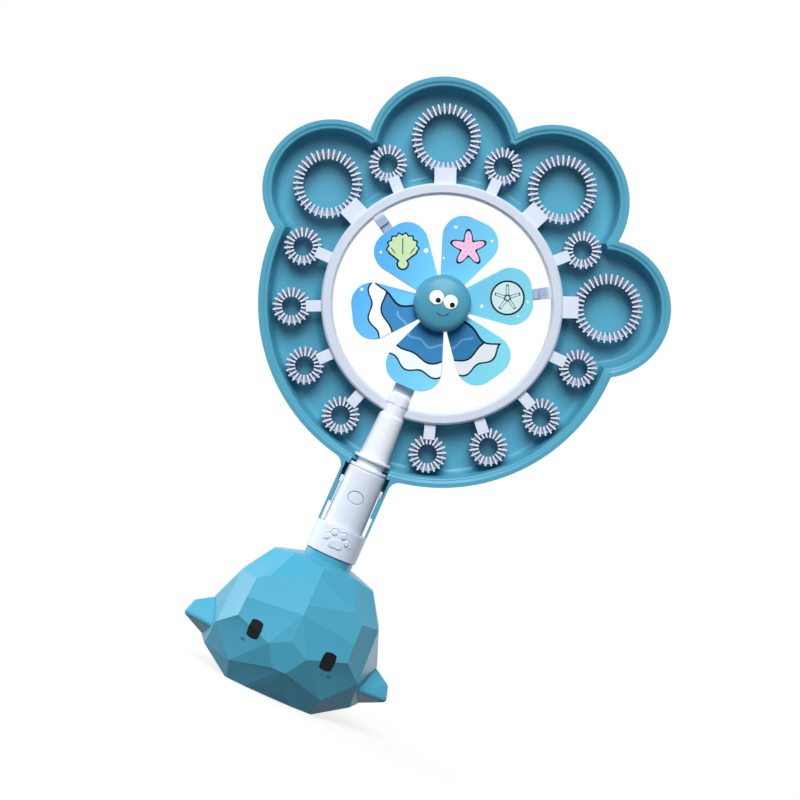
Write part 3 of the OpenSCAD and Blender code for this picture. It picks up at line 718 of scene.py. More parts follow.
class Bench:
    """Work bench that adds, selects, shapes and finishes pieces with Blender's own operators."""

    @staticmethod
    def clear() -> None:
        """Leaves edit mode and deselects everything."""
        if bpy.context.object and bpy.context.object.mode != "OBJECT":
            bpy.ops.object.mode_set(mode="OBJECT")
        bpy.ops.object.select_all(action="DESELECT")

    @classmethod
    def focus(cls, piece: Piece) -> None:
        """Makes a piece the only one that is selected.

        Args:
            piece: the piece.
        """
        cls.clear()
        piece.select_set(True)
        bpy.context.view_layer.objects.active = piece

    @classmethod
    @contextmanager
    def editing(cls, piece: Piece, whole: bool = True) -> Iterator[None]:
        """Opens a piece in edit mode for a with block.

        Args:
            piece: the piece.
            whole: whether all of it is selected, or nothing.

        Returns:
            The with block's context.
        """
        cls.focus(piece)
        bpy.ops.object.mode_set(mode="EDIT")
        bpy.ops.mesh.select_all(action="SELECT" if whole else "DESELECT")
        yield
        bpy.ops.object.mode_set(mode="OBJECT")

    @classmethod
    def named(cls, name: str) -> Piece:
        """Names the active piece and puts its place into its mesh.

        Args:
            name: the piece's name.

        Returns:
            The piece.
        """
        piece = bpy.context.object
        piece.name = piece.data.name = name
        cls.focus(piece)
        bpy.ops.object.transform_apply(location=True, rotation=True, scale=True)
        return piece

    @classmethod
    def add(cls, name: str, primitive: Callable[..., Any], **settings: Any) -> Piece:
        """Adds a primitive at its size and place.

        Args:
            name: the new piece's name.
            primitive: operator that adds it.
            settings: the operator's settings.

        Returns:
            The new piece.
        """
        cls.clear()
        primitive(**settings)
        return cls.named(name)

    @classmethod
    def node_copy(cls, node: str, name: str, flat: float = 0.3) -> Piece:
        """Copies a CAD node's mesh into a merged piece.

        Args:
            node: the node's name.
            name: the new piece's name.
            flat: angle in degrees under which neighbouring faces are one.

        Returns:
            The new piece.
        """
        piece = bpy.data.objects.new(name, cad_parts[node].data.copy())
        piece.data.name = name
        bpy.context.scene.collection.objects.link(piece)
        cls.focus(piece)
        if piece.data.has_custom_normals:
            bpy.ops.mesh.customdata_custom_splitnormals_clear()
        with cls.editing(piece):
            bpy.ops.mesh.remove_doubles(threshold=0.002 * MM)
            bpy.ops.mesh.dissolve_limited(angle_limit=math.radians(flat))
        return piece

    @classmethod
    def round_edges(cls, piece: Piece, *edges: tuple[EdgeTest, Rounding]) -> None:
        """Rounds edges, one set after another.

        Args:
            piece: the piece.
            edges: tests that pick the edges of each set, with the set's rounding.
        """
        for test, rounding in edges:
            with cls.editing(piece, whole=False):
                bpy.ops.mesh.select_mode(type="EDGE")
                if cls.pick_edges(piece, test):
                    bpy.ops.mesh.bevel(
                        offset=rounding.width * MM, offset_type="OFFSET", segments=rounding.steps,
                        profile=0.5, affect="EDGES", clamp_overlap=True, loop_slide=True,
                    )

    @staticmethod
    def pick_edges(piece: Piece, test: EdgeTest) -> bool:
        """Selects edges between two faces, in edit mode.

        Args:
            piece: the piece.
            test: says whether an edge is selected.

        Returns:
            Whether any edge was selected.
        """
        picked = False
        for edge in bmesh.from_edit_mesh(piece.data).edges:
            if len(edge.link_faces) != 2:
                continue
            facts = EdgeFacts(
                (edge.verts[0].co + edge.verts[1].co) / (2.0 * MM),
                edge.calc_length() / MM,
                math.degrees(edge.calc_face_angle(0.0)),
                edge.is_convex,
                edge.link_faces[0].normal + edge.link_faces[1].normal,
            )
            if test(facts):
                edge.select_set(True)
                picked = True
        bmesh.update_edit_mesh(piece.data)
        return picked

    @classmethod
    def modifier(cls, piece: Piece, kind: str, **settings: Any) -> None:
        """Adds one modifier and applies it.

        Args:
            piece: the piece.
            kind: Blender's name of the modifier.
            settings: its properties.
        """
        cls.focus(piece)
        change = piece.modifiers.new(kind.lower(), kind)
        for key, value in settings.items():
            setattr(change, key, value)
        bpy.ops.object.modifier_apply(modifier=change.name)

    @classmethod
    def round_corners(cls, piece: Piece, rounding: Rounding, angle: float) -> None:
        """Rounds every edge that turns by more than an angle.

        Args:
            piece: the piece.
            rounding: width and steps.
            angle: the angle in degrees.
        """
        cls.modifier(
            piece, "BEVEL", width=rounding.width * MM, segments=rounding.steps,
            limit_method="ANGLE", angle_limit=math.radians(angle), use_clamp_overlap=True,
        )

    @classmethod
    def smooth(cls, piece: Piece, angle: float) -> None:
        """Shades a piece smooth, with its large faces flat.

        Args:
            piece: the piece.
            angle: turn in degrees past which an edge stays sharp.
        """
        cls.focus(piece)
        bpy.ops.object.shade_smooth_by_angle(angle=math.radians(angle))
        cls.modifier(piece, "WEIGHTED_NORMAL", keep_sharp=True, weight=80)

    @classmethod
    def outward(cls, piece: Piece) -> Piece:
        """Merges doubles and turns all faces outwards.

        Args:
            piece: the piece.

        Returns:
            The same piece.
        """
        with cls.editing(piece):
            bpy.ops.mesh.remove_doubles(threshold=0.001 * MM)
            bpy.ops.mesh.normals_make_consistent(inside=False)
        return piece

    @classmethod
    def cut(cls, piece: Piece, place: Vector, way: Vector) -> None:
        """Cuts off what lies past a plane and closes the cut.

        Args:
            piece: the piece.
            place: point of the plane, in metres.
            way: direction of what is cut off.
        """
        with cls.editing(piece):
            bpy.ops.mesh.bisect(
                plane_co=place, plane_no=way, use_fill=True, clear_inner=False, clear_outer=True
            )

    @classmethod
    def pad(cls, name: str, outline: Callable[[float], float], relief: Relief) -> Piece:
        """Makes a low crowned pad that lies in the XZ plane and faces -Y.

        Args:
            name: the pad's name.
            outline: radius in millimetres for each direction in radians.
            relief: its height, edge and corners.

        Returns:
            The pad, at the origin.
        """
        piece = cls.add(
            name, bpy.ops.mesh.primitive_circle_add,
            vertices=relief.corners, radius=MM, fill_type="NGON", rotation=FACE_ON,
        )
        for vertex in piece.data.vertices:
            turn = math.atan2(vertex.co.z, vertex.co.x)
            reach = outline(turn) * MM
            vertex.co = Vector((reach * math.cos(turn), 0.0, reach * math.sin(turn)))
        rise = (0.0, -relief.height * MM, 0.0)
        with cls.editing(piece):
            bpy.ops.mesh.normals_make_consistent(inside=False)
            bpy.ops.mesh.extrude_region_move(TRANSFORM_OT_translate={"value": rise})
            bpy.ops.mesh.bevel(
                offset=relief.round_w * MM, segments=3, profile=0.5, affect="EDGES",
                clamp_overlap=True,
            )
        return cls.outward(piece)

    @classmethod
    def arc(cls, name: str, radius: float, thick: float, turn: float, keep: float) -> Piece:
        """Makes a part of a thin ring that lies in the XZ plane.

        Args:
            name: the piece's name.
            radius: radius of the ring in millimetres.
            thick: radius of its section.
            turn: direction of the part's middle from +X, in degrees.
            keep: share of the radius beyond which the ring is kept.

        Returns:
            The arc, round the origin.
        """
        piece = cls.add(
            name, bpy.ops.mesh.primitive_torus_add, major_radius=radius * MM,
            minor_radius=thick * MM, major_segments=64, minor_segments=10, rotation=FACE_ON,
        )
        way = Vector((math.cos(math.radians(turn)), 0.0, math.sin(math.radians(turn))))
        cls.cut(piece, way * (keep * radius * MM), -way)
        return cls.outward(piece)

    @staticmethod
    def wrap(piece: Piece, radius: float) -> None:
        """Bends a flat piece, which faces -Y, round a drum on the Z axis.

        Args:
            piece: the piece.
            radius: radius of the drum in millimetres.
        """
        for vertex in piece.data.vertices:
            turn = vertex.co.x / (radius * MM)
            reach = radius * MM - vertex.co.y
            vertex.co = Vector((reach * math.sin(turn), -reach * math.cos(turn), vertex.co.z))

    @staticmethod
    def shift(piece: Piece, x: float, y: float, z: float) -> None:
        """Moves a piece's mesh by millimetres."""
        piece.data.transform(Matrix.Translation(Vector((x, y, z)) * MM))


class Assembly:
    """Group of pieces that are built and dressed together."""

    def settle(
        self, piece: Piece, body: Body, slot: Slot, finish: Finish,
        nodes: Sequence[str] = (), angle: float = 35.0,
    ) -> None:
        """Gives a piece its shading, its finish and its body, and hides the nodes that it stands
        for.

        Args:
            piece: the piece.
            body: body that it moves with.
            slot: material slot of the record; not used.
            finish: its finish.
            nodes: CAD nodes that it replaces.
            angle: turn in degrees past which an edge stays sharp.
        """
        Bench.smooth(piece, angle)
        piece.data.materials.clear()
        piece.data.materials.append(finish.material())
        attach(piece, body.value)
        if nodes:
            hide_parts(*nodes)
        LOG.info("%s: %d faces, on %s", piece.name, len(piece.data.polygons), body.value)

    def build(self) -> None:
        """Builds and dresses the pieces."""
        raise NotImplementedError


@dataclass
class DipTray(Assembly):
    """Paw-shaped tray; sizes in millimetres, lobes by distance, turn from upright and radius."""

    round_r: float = 114.0
    lobes: tuple[Point, ...] = ((93.0, 23.3, 47.8), (99.0, 67.8, 42.8))
    bead_w: float = 2.7
    rim_w: float = 5.8
    bead_y: float = -3.0
    rim_y: float = -2.1
    flange_y: float = -0.4
    floor_y: float = 14.0
    back_y: float = 15.8
    lean: float = 2.4
    bead_lean: float = 1.5
    near: float = 0.3
    ring_turn: float = 25.0
    foot_turns: Spot = (15.0, 80.0)
    foot_r: float = 85.0
    foot_y: float = 3.4
    floor_edge: Rounding = Rounding(3.4, 6)
    rim_edge: Rounding = Rounding(1.2, 5)
    bead_edge: Rounding = Rounding(1.5, 5)
    bead_in_edge: Rounding = Rounding(0.8, 4)
    groove_edge: Rounding = Rounding(0.35)
    flange_edge: Rounding = Rounding(0.8)
    foot_edge: Rounding = Rounding(1.6)
    arm_edge: Rounding = Rounding(0.5)
    back_edge: Rounding = Rounding(0.4, 2)

    def arcs(self) -> list[tuple[Vector, float]]:
        """Lists the arcs that make the tray's outline.

        Returns:
            The centre and the radius of each.
        """
        found = [(Vector((0.0, HUB_Z)), self.round_r)]
        for at_r, turn, radius in self.lobes:
            for swing in (-math.radians(turn), math.radians(turn)):
                centre = Vector((at_r * math.sin(swing), HUB_Z + at_r * math.cos(swing)))
                found.append((centre, radius))
        return found

    def inset(self, spot: Vector) -> float:
        """How far inside the outline a point lies, seen from the front."""
        flat = Vector((spot.x, spot.z))
        return max(radius - (flat - centre).length for centre, radius in self.arcs())

    def on_ring(self, spot: Vector, level: float, inset: float) -> bool:
        """Whether a point lies at one level along Y and at one inset from the outline."""
        level_off, inset_off = abs(spot.y - level), abs(self.inset(spot) - inset)
        return level_off < self.near and inset_off < self.near

    def draw_in(self, piece: Piece, level: float, inset: float, shift: float) -> None:
        """Draws one ring of corners in, away from the outline.

        Args:
            piece: the tray.
            level: where the ring lies along Y.
            inset: its inset from the outline.
            shift: how far it goes in.
        """
        for vertex in piece.data.vertices:
            spot = vertex.co / MM
            if not self.on_ring(spot, level, inset):
                continue
            outs = [(Vector((spot.x, spot.z)) - centre, radius) for centre, radius in self.arcs()]
            ways = [
                out.normalized() for out, radius in outs
                if abs(radius - inset - out.length) < self.near
            ]
            way = sum(ways, Vector((0.0, 0.0))).normalized()
            step = way * (shift * MM / way.dot(ways[0]))
            vertex.co -= Vector((step.x, 0.0, step.y))

    def ring(self, level: float, inset: float) -> EdgeTest:
        """Test for the sharp edges at one level and one inset from the outline."""
        return lambda edge: edge.turn > self.ring_turn and self.on_ring(edge.middle, level, inset)

    def foot(self, edge: EdgeFacts) -> bool:
        """Whether an edge belongs to the inner wall's sloped foot."""
        low = edge.hub_r < self.foot_r and self.foot_y < edge.middle.y < self.floor_y + self.near
        return low and self.foot_turns[0] < edge.turn < self.foot_turns[1]

    def arm(self, edge: EdgeFacts) -> bool:
        """Whether an edge is a front edge of the two arms."""
        ahead = abs(edge.middle.y - self.bead_y) < self.near and edge.turn > SHARP and edge.convex
        return ahead and self.inset(edge.middle) < -self.near

    def back(self, edge: EdgeFacts) -> bool:
        """Whether an edge bounds the back."""
        return edge.turn > SHARP and abs(edge.middle.y - self.back_y) < self.near

    def build(self) -> None:
        """Leans the wall and the bead, and rounds the rims, the floor's corner and the arms."""
        piece = Bench.node_copy("dip_tray", "tray_shell")
        self.draw_in(piece, self.floor_y, self.rim_w, self.lean)
        self.draw_in(piece, self.rim_y, self.bead_w, self.bead_lean)
        Bench.round_edges(
            piece,
            (self.ring(self.floor_y, self.rim_w + self.lean), self.floor_edge),
            (self.ring(self.rim_y, self.rim_w), self.rim_edge),
            (self.ring(self.bead_y, 0.0), self.bead_edge),
            (self.ring(self.bead_y, self.bead_w), self.bead_in_edge),
            (self.ring(self.rim_y, self.bead_w + self.bead_lean), self.groove_edge),
            (self.ring(self.flange_y, 0.0), self.flange_edge),
            (self.foot, self.foot_edge),
            (self.arm, self.arm_edge),
            (self.back, self.back_edge),
        )
        self.settle(piece, Body.TRAY, Slot.TRAY, TRAY_FINISH, ["dip_tray"], angle=40.0)


@dataclass
class BubbleWheel(Assembly):
    """Band with its spokes and the ribbed hoops; sizes in millimetres."""

    band_from_r: float = 67.5
    band_turn: float = 20.0
    front_y: float = -0.7
    band_from_z: float = 190.0
    spoke_from_r: float = 18.0
    spoke_to_r: float = 64.0
    band_edge: Rounding = Rounding(0.45)
    spoke_edge: Rounding = Rounding(0.45, 2)
    rib_edge: Rounding = Rounding(0.16, 2)

    def band(self, edge: EdgeFacts) -> bool:
        """Whether an edge is a front edge of the band."""
        ahead = edge.middle.y < self.front_y and edge.middle.z > self.band_from_z
        return ahead and edge.turn > self.band_turn and edge.hub_r > self.band_from_r

    def spoke(self, edge: EdgeFacts) -> bool:
        """Whether an edge is a long edge of a spoke or of the pot's back."""
        between = self.spoke_from_r < edge.hub_r < self.spoke_to_r
        return between and edge.turn > SHARP and edge.convex

    def build(self) -> None:
        """Rounds the band, the spokes and the ribs."""
        piece = Bench.node_copy("wheel_frame", "wheel_band")
        Bench.round_edges(piece, (self.band, self.band_edge), (self.spoke, self.spoke_edge))
        # The band's finish paints shade on the upper spokes and the pot.
        self.settle(piece, Body.WAND, Slot.BAND, BAND_FINISH, ["wheel_frame"])
        for node in ("large_hoops", "small_hoops"):
            hoops = Bench.node_copy(node, f"ribbed_{node}")
            Bench.round_corners(hoops, self.rib_edge, SHARP)
            self.settle(hoops, Body.WAND, Slot.HOOP, HOOP_FINISH, [node])


@dataclass
class Windmill(Assembly):
    """Printed petals and the crowned hub cap with its simple face.

    Sizes and places are millimetres, places to the right of the hub and above it. The cap's profile
    runs over its crown, its round edge, its wall and its back, in shares of the whole.
    """

    petal_edge: Rounding = Rounding(0.45)
    petal_turn: float = 60.0
    front_y: float = -19.7
    back_y: float = -8.3
    cap_r: float = 17.75
    edge_r: float = 6.0
    crown_r: float = 45.0
    crown_to: float = 0.3
    edge_to: float = 0.7
    wall_to: float = 0.8
    eye_r: float = 4.5
    eyes: tuple[Spot, ...] = ((-4.6, 1.6), (4.4, 2.4))
    eye_pad: Relief = Relief(0.8, 0.5)
    eye_rise: float = -0.35
    pupil_r: float = 1.6
    pupil_pad: Relief = Relief(0.3, 0.1, 32)
    pupil_rise: float = 0.3
    glance: Spot = (1.6, -1.3)
    smile_r: float = 4.6
    smile_at: Spot = (3.0, -6.4)
    smile_turn: float = -70.0
    smile_keep: float = 0.68
    smile_shift: float = 0.85
    smile_rise: float = -0.1
    line_r: float = 0.36

    def build(self) -> None:
        """Builds the rotor, the cap and the face."""
        rotor = Bench.node_copy("petal_rotor", "windmill_petals")
        Bench.round_corners(rotor, self.petal_edge, self.petal_turn)
        self.settle(rotor, Body.WINDMILL, Slot.PETAL, PETAL_FINISH, ["petal_rotor"])
        self.cap()
        for spot, label in zip(self.eyes, SIDES):
            self.eye(spot, label)
        self.smile()

    def profile(self, step: float) -> Spot:
        """Follows the cap's profile.

        Args:
            step: from 0 on the front's middle to 1 on the back's middle.

        Returns:
            The radius, and the place along Y.
        """
        ring_r = self.cap_r - self.edge_r
        lean = math.asin(ring_r / (self.crown_r - self.edge_r))
        edge_y = self.front_y + self.crown_r - (self.crown_r - self.edge_r) * math.cos(lean)
        if step < self.crown_to:
            turn = lean * step / self.crown_to
            depth = self.front_y + self.crown_r * (1.0 - math.cos(turn))
            return self.crown_r * math.sin(turn), depth
        if step < self.edge_to:
            share = (step - self.crown_to) / (self.edge_to - self.crown_to)
            turn = lean + (math.pi / 2 - lean) * share
            return ring_r + self.edge_r * math.sin(turn), edge_y - self.edge_r * math.cos(turn)
        if step < self.wall_to:
            share = (step - self.edge_to) / (self.wall_to - self.edge_to)
            return self.cap_r, edge_y + (self.back_y - edge_y) * share
        return self.cap_r * (1.0 - step) / (1.0 - self.wall_to), self.back_y

    def cap(self) -> None:
        """Builds the hub cap, a crowned button with a wide round edge."""
        piece = Bench.add(
            "hub_button", bpy.ops.mesh.primitive_uv_sphere_add,
            segments=72, ring_count=40, radius=MM, rotation=FACE_ON,
        )
        for vertex in piece.data.vertices:
            around = math.atan2(vertex.co.z, vertex.co.x)
            tilt = math.acos(max(-1.0, min(1.0, -vertex.co.y / MM)))
            reach, depth = self.profile(tilt / math.pi)
            up = HUB_Z + reach * math.sin(around)
            vertex.co = Vector((reach * math.cos(around), depth, up)) * MM
        Bench.outward(piece)
        self.settle(piece, Body.WINDMILL, Slot.HUB, HUB_FINISH, ["hub_cap"], angle=50.0)

    def seat(self, piece: Piece, x: float, z: float, rise: float) -> None:
        """Lays a flat piece, made at the origin, on the crown.

        Args:
            piece: the piece.
            x: its place to the right of the hub.
            z: its place above the hub.
            rise: how far it stands before the crown.
        """
        middle = Vector((0.0, self.front_y + self.crown_r, HUB_Z)) * MM
        turn = Matrix.Rotation(math.asin(x / self.crown_r), 4, "Z")
        tilt = Matrix.Rotation(-math.asin(z / self.crown_r), 4, "X")
        out = Matrix.Translation(Vector((0.0, -(self.crown_r + rise) * MM, 0.0)))
        piece.data.transform(Matrix.Translation(middle) @ turn @ tilt @ out)

    def eye(self, spot: Spot, label: str) -> None:
        """Builds one eye with its pupil.

        Args:
            spot: place of the eye.
            label: word for the pieces' names.
        """
        x, z = spot
        ball = Bench.pad(f"hub_eye_{label}", lambda turn: self.eye_r, self.eye_pad)
        self.seat(ball, x, z, self.eye_rise)
        self.settle(ball, Body.WINDMILL, Slot.HOOP, WHITE_FINISH, angle=40.0)
        pupil = Bench.pad(f"hub_pupil_{label}", lambda turn: self.pupil_r, self.pupil_pad)
        self.seat(pupil, x + self.glance[0], z + self.glance[1], self.pupil_rise)
        self.settle(pupil, Body.WINDMILL, Slot.BLACK, EYE_FINISH, angle=40.0)

    def smile(self) -> None:
        """Builds the smile, the lower part of a thin ring."""
        piece = Bench.arc(
            "hub_smile", self.smile_r, self.line_r, self.smile_turn, self.smile_keep
        )
        turn = math.radians(self.smile_turn)
        shift = self.smile_r * self.smile_shift
        Bench.shift(piece, -shift * math.cos(turn), 0.0, -shift * math.sin(turn))
        self.seat(piece, *self.smile_at, self.smile_rise)
        self.settle(piece, Body.WINDMILL, Slot.BLACK, LINE_FINISH, angle=60.0)


@dataclass
class Handle(Assembly):
    """Stem, barrel, button and cap band with its embossed paw.

    Sizes in millimetres; the heel's waves give how many go round, their height and their phase.
    """

    cap_r: float = 16.5
    near: float = 0.3
    outer_r: float = 11.0
    outer_turn: float = 40.0
    stem_edge: Rounding = Rounding(0.6)
    grip_edge: Rounding = Rounding(0.5)
    button_edge: Rounding = Rounding(0.3)
    hood_from_z: float = 195.5
    hood_y: float = -2.5
    hood_facing: float = -0.2
    hood_round: Rounding = Rounding(2.2, 5)
    seam_z: float = 149.5
    seam_round: Rounding = Rounding(0.9)
    paw_z: float = 102.4
    paw_sink: float = 0.06
    toes: tuple[Spot, ...] = ((-6.6, 1.2), (-3.0, 5.0), (3.1, 4.8), (6.6, 1.4))
    toe_r: float = 1.9
    toe_pad: Relief = Relief(0.9, 0.7, 40)
    line_at_r: float = 3.0
    line_r: float = 0.5
    line_keep: float = 0.25
    line_from_z: float = -0.8
    heel_at: Spot = (0.2, -1.0)
    heel_r: float = 3.6
    heel_waves: tuple[Point, ...] = (
        (2.0, 0.6, 0.0), (1.0, -0.6, -math.pi / 2), (3.0, 0.5, math.pi / 2),
    )
    heel_pad: Relief = Relief(0.8, 0.6, 64)

    def build(self) -> None:
        """Rounds the parts of the handle and adds the paw."""
        grip, white = (Slot.HANDLE, HANDLE_FINISH), (Slot.HOOP, STEM_FINISH)
        parts = (
            ("stem", "handle_stem", Body.WAND, white, self.stem_edge),
            ("handle_barrel", "handle_grip", Body.WAND, grip, self.grip_edge),
            ("bottle_cap", "handle_cap_band", Body.WAND, grip, self.stem_edge),
            ("power_button", "handle_button", Body.BUTTON, grip, self.button_edge),
        )
        for node, name, body, look, rounding in parts:
            piece = Bench.node_copy(node, name, flat=0.1)
            Bench.round_edges(
                piece, (self.hood_edge, self.hood_round), (self.seam_edge, self.seam_round),
                (self.outer_edge, rounding),
            )
            self.settle(piece, body, *look, [node])
        self.paw()

    def hood_edge(self, edge: EdgeFacts) -> bool:
        """Whether an edge is the front edge of the hood's arched top."""
        ahead = edge.facing.y < self.hood_facing and edge.middle.y < self.hood_y
        return ahead and edge.turn > SHARP and edge.convex and edge.middle.z > self.hood_from_z

    def seam_edge(self, edge: EdgeFacts) -> bool:
        """Whether an edge lies where the barrel and the stem's collar meet."""
        return self.outer_edge(edge) and abs(edge.middle.z - self.seam_z) < self.near

    def outer_edge(self, edge: EdgeFacts) -> bool:
        """Tells the sharp edges on the outside of the handle.

        Args:
            edge: facts of an edge.

        Returns:
            Whether it is one of them.
        """
        reach = math.hypot(edge.middle.x, edge.middle.y)
        outward = edge.facing.x * edge.middle.x + edge.facing.y * edge.middle.y
        return edge.turn > self.outer_turn and edge.convex and reach > self.outer_r and outward > 0

    def heel(self, turn: float) -> float:
        """Radius of the heel in one direction."""
        waves = (high * math.cos(count * turn + start) for count, high, start in self.heel_waves)
        return self.heel_r + sum(waves)

    def paw(self) -> None:
        """Embosses a paw on the front of the cap band, each toe with a raised line round it."""
        for number, (x, z) in enumerate(self.toes, 1):
            self.emboss(Bench.pad(f"paw_toe_{number}", lambda turn: self.toe_r, self.toe_pad), x, z)
            away = math.degrees(math.atan2(z - self.line_from_z, x))
            ring = (self.line_at_r, self.line_r, away, self.line_keep)
            self.emboss(Bench.arc(f"paw_line_{number}", *ring), x, z)
        self.emboss(Bench.pad("paw_heel", self.heel, self.heel_pad), *self.heel_at)

    def emboss(self, pad: Piece, x: float, z: float) -> None:
        """Sets a flat pad on the band's front.

        Args:
            pad: the pad.
            x: place along the band in millimetres.
            z: height above the paw's middle.
        """
        Bench.shift(pad, x, self.paw_sink, self.paw_z + z)
        Bench.wrap(pad, self.cap_r)
        self.settle(pad, Body.WAND, Slot.HANDLE, PAW_FINISH, angle=50.0)


@dataclass(frozen=True)
class Patch:
    """Rounded patch: its width, its height and how far its corners are drawn in."""

    width: float
    height: float
    drawn: float


@dataclass
class WhaleBottle(Assembly):
    """Faceted whale with its eyes; sizes in millimetres."""

    middle_z: float = 42.0
    facet_turn: float = 3.0
    facet_length: float = 4.0
    facet_round: Rounding = Rounding(1.8, 4)
    neck_z: float = 86.0
    neck_turn: float = 60.0
    neck_round: Rounding = Rounding(0.5, 2)
    fin_from_x: float = 54.95
    fin_ball: float = 2.6
    fin_corners: tuple[Point, ...] = (
        (49.7, 2.0, 40.0), (49.7, -12.5, 25.0), (49.7, 2.0, 17.0), (49.7, 14.5, 27.0),
        (63.6, 0.0, 31.5), (65.6, -3.0, 25.0), (65.0, 3.6, 26.5),
    )
    eyes: tuple[Spot, ...] = ((-23.4, 35.8), (25.0, 35.6))
    eye: Patch = Patch(8.3, 11.7, 0.55)
    marks: tuple[Spot, ...] = ((-28.0, 27.0), (29.5, 27.0))
    mark_shifts: Spot = (-0.75, 0.75)
    mark: Patch = Patch(0.7, 1.5, 0.7)
    patch_from_y: float = -80.0
    patch_rise: float = 0.14
    patch_thick: float = 0.3

    def build(self) -> None:
        """Rounds the facets, and adds the fins, the eyes and the cheek marks."""
        piece = Bench.node_copy("whale_bottle", "whale_body", flat=1.0)
        for side, label in zip((-1, 1), SIDES):
            way = Vector((side, 0.0, 0.0))
            Bench.cut(piece, way * (self.fin_from_x * MM), way)
            self.skin(self.fin(side, label))
        Bench.round_edges(
            piece, (self.facet_edge, self.facet_round), (self.neck_edge, self.neck_round)
        )
        self.skin(piece)
        for (x, z), label in zip(self.eyes, SIDES):
            self.lay(self.eye, f"whale_eye_{label}", piece, x, z, EYE_FINISH)
        for (x, z), label in zip(self.marks, SIDES):
            for number, shift in enumerate(self.mark_shifts, 1):
                name = f"whale_cheek_{label}_{number}"
                self.lay(self.mark, name, piece, x + shift, z, LINE_FINISH)

    def skin(self, piece: Piece) -> None:
        """Dresses the body or a fin."""
        nodes = ["whale_bottle"]
        self.settle(piece, Body.BOTTLE, Slot.BOTTLE, WHALE_FINISH, nodes, angle=30.0)

    def fin(self, side: int, label: str) -> Piece:
        """Makes one fin, the hull of a ball at each of its corners.

        Args:
            side: -1 for left and 1 for right.
            label: word for the piece's name.

        Returns:
            The fin.
        """
        balls = []
        for x, y, z in self.fin_corners:
            Bench.clear()
            bpy.ops.mesh.primitive_uv_sphere_add(
                segments=32, ring_count=16, radius=self.fin_ball * MM,
                location=(side * x * MM, y * MM, z * MM),
            )
            balls.append(bpy.context.object)
        Bench.focus(balls[0])
        for ball in balls:
            ball.select_set(True)
        bpy.ops.object.join()
        piece = Bench.named(f"whale_fin_{label}")
        with Bench.editing(piece):
            bpy.ops.mesh.convex_hull()
        return Bench.outward(piece)

    def facet_edge(self, edge: EdgeFacts) -> bool:
        """Tells the edges between the body's outer facets.

        Args:
            edge: facts of an edge.

        Returns:
            Whether it is one of them.
        """
        spread = edge.middle - Vector((0.0, 0.0, self.middle_z))
        outer = edge.convex and edge.facing.dot(spread) > 0
        on_body = abs(edge.middle.x) < self.fin_from_x and edge.middle.z < self.neck_z
        return outer and on_body and edge.turn > self.facet_turn and edge.length > self.facet_length

    def neck_edge(self, edge: EdgeFacts) -> bool:
        """Whether an edge is a sharp edge of the neck collar."""
        return edge.turn > self.neck_turn and edge.convex and edge.middle.z > self.neck_z

    def lay(
        self, patch: Patch, name: str, body: Piece, x: float, z: float, finish: Finish
    ) -> None:
        """Lays a patch on the whale's front.

        Args:
            patch: its size.
            name: the new piece's name.
            body: the whale's body.
            x: place to the right.
            z: height.
            finish: its finish.
        """
        piece = Bench.add(
            name, bpy.ops.mesh.primitive_grid_add,
            x_subdivisions=18, y_subdivisions=22, size=2.0, rotation=FACE_ON,
        )
        for vertex in piece.data.vertices:
            across, up = vertex.co.x, vertex.co.z
            vertex.co = Vector((
                x + patch.width / 2 * across * math.sqrt(1 - patch.drawn * up * up / 2),
                self.patch_from_y,
                z + patch.height / 2 * up * math.sqrt(1 - patch.drawn * across * across / 2),
            )) * MM
        Bench.modifier(
            piece, "SHRINKWRAP", target=body, wrap_method="PROJECT", use_project_y=True,
            use_positive_direction=True, use_negative_direction=False,
        )
        Bench.shift(piece, 0.0, -self.patch_rise, 0.0)
        Bench.modifier(piece, "SOLIDIFY", thickness=self.patch_thick * MM, offset=0.0)
        Bench.outward(piece)
        self.settle(piece, Body.BOTTLE, Slot.BLACK, finish, angle=50.0)


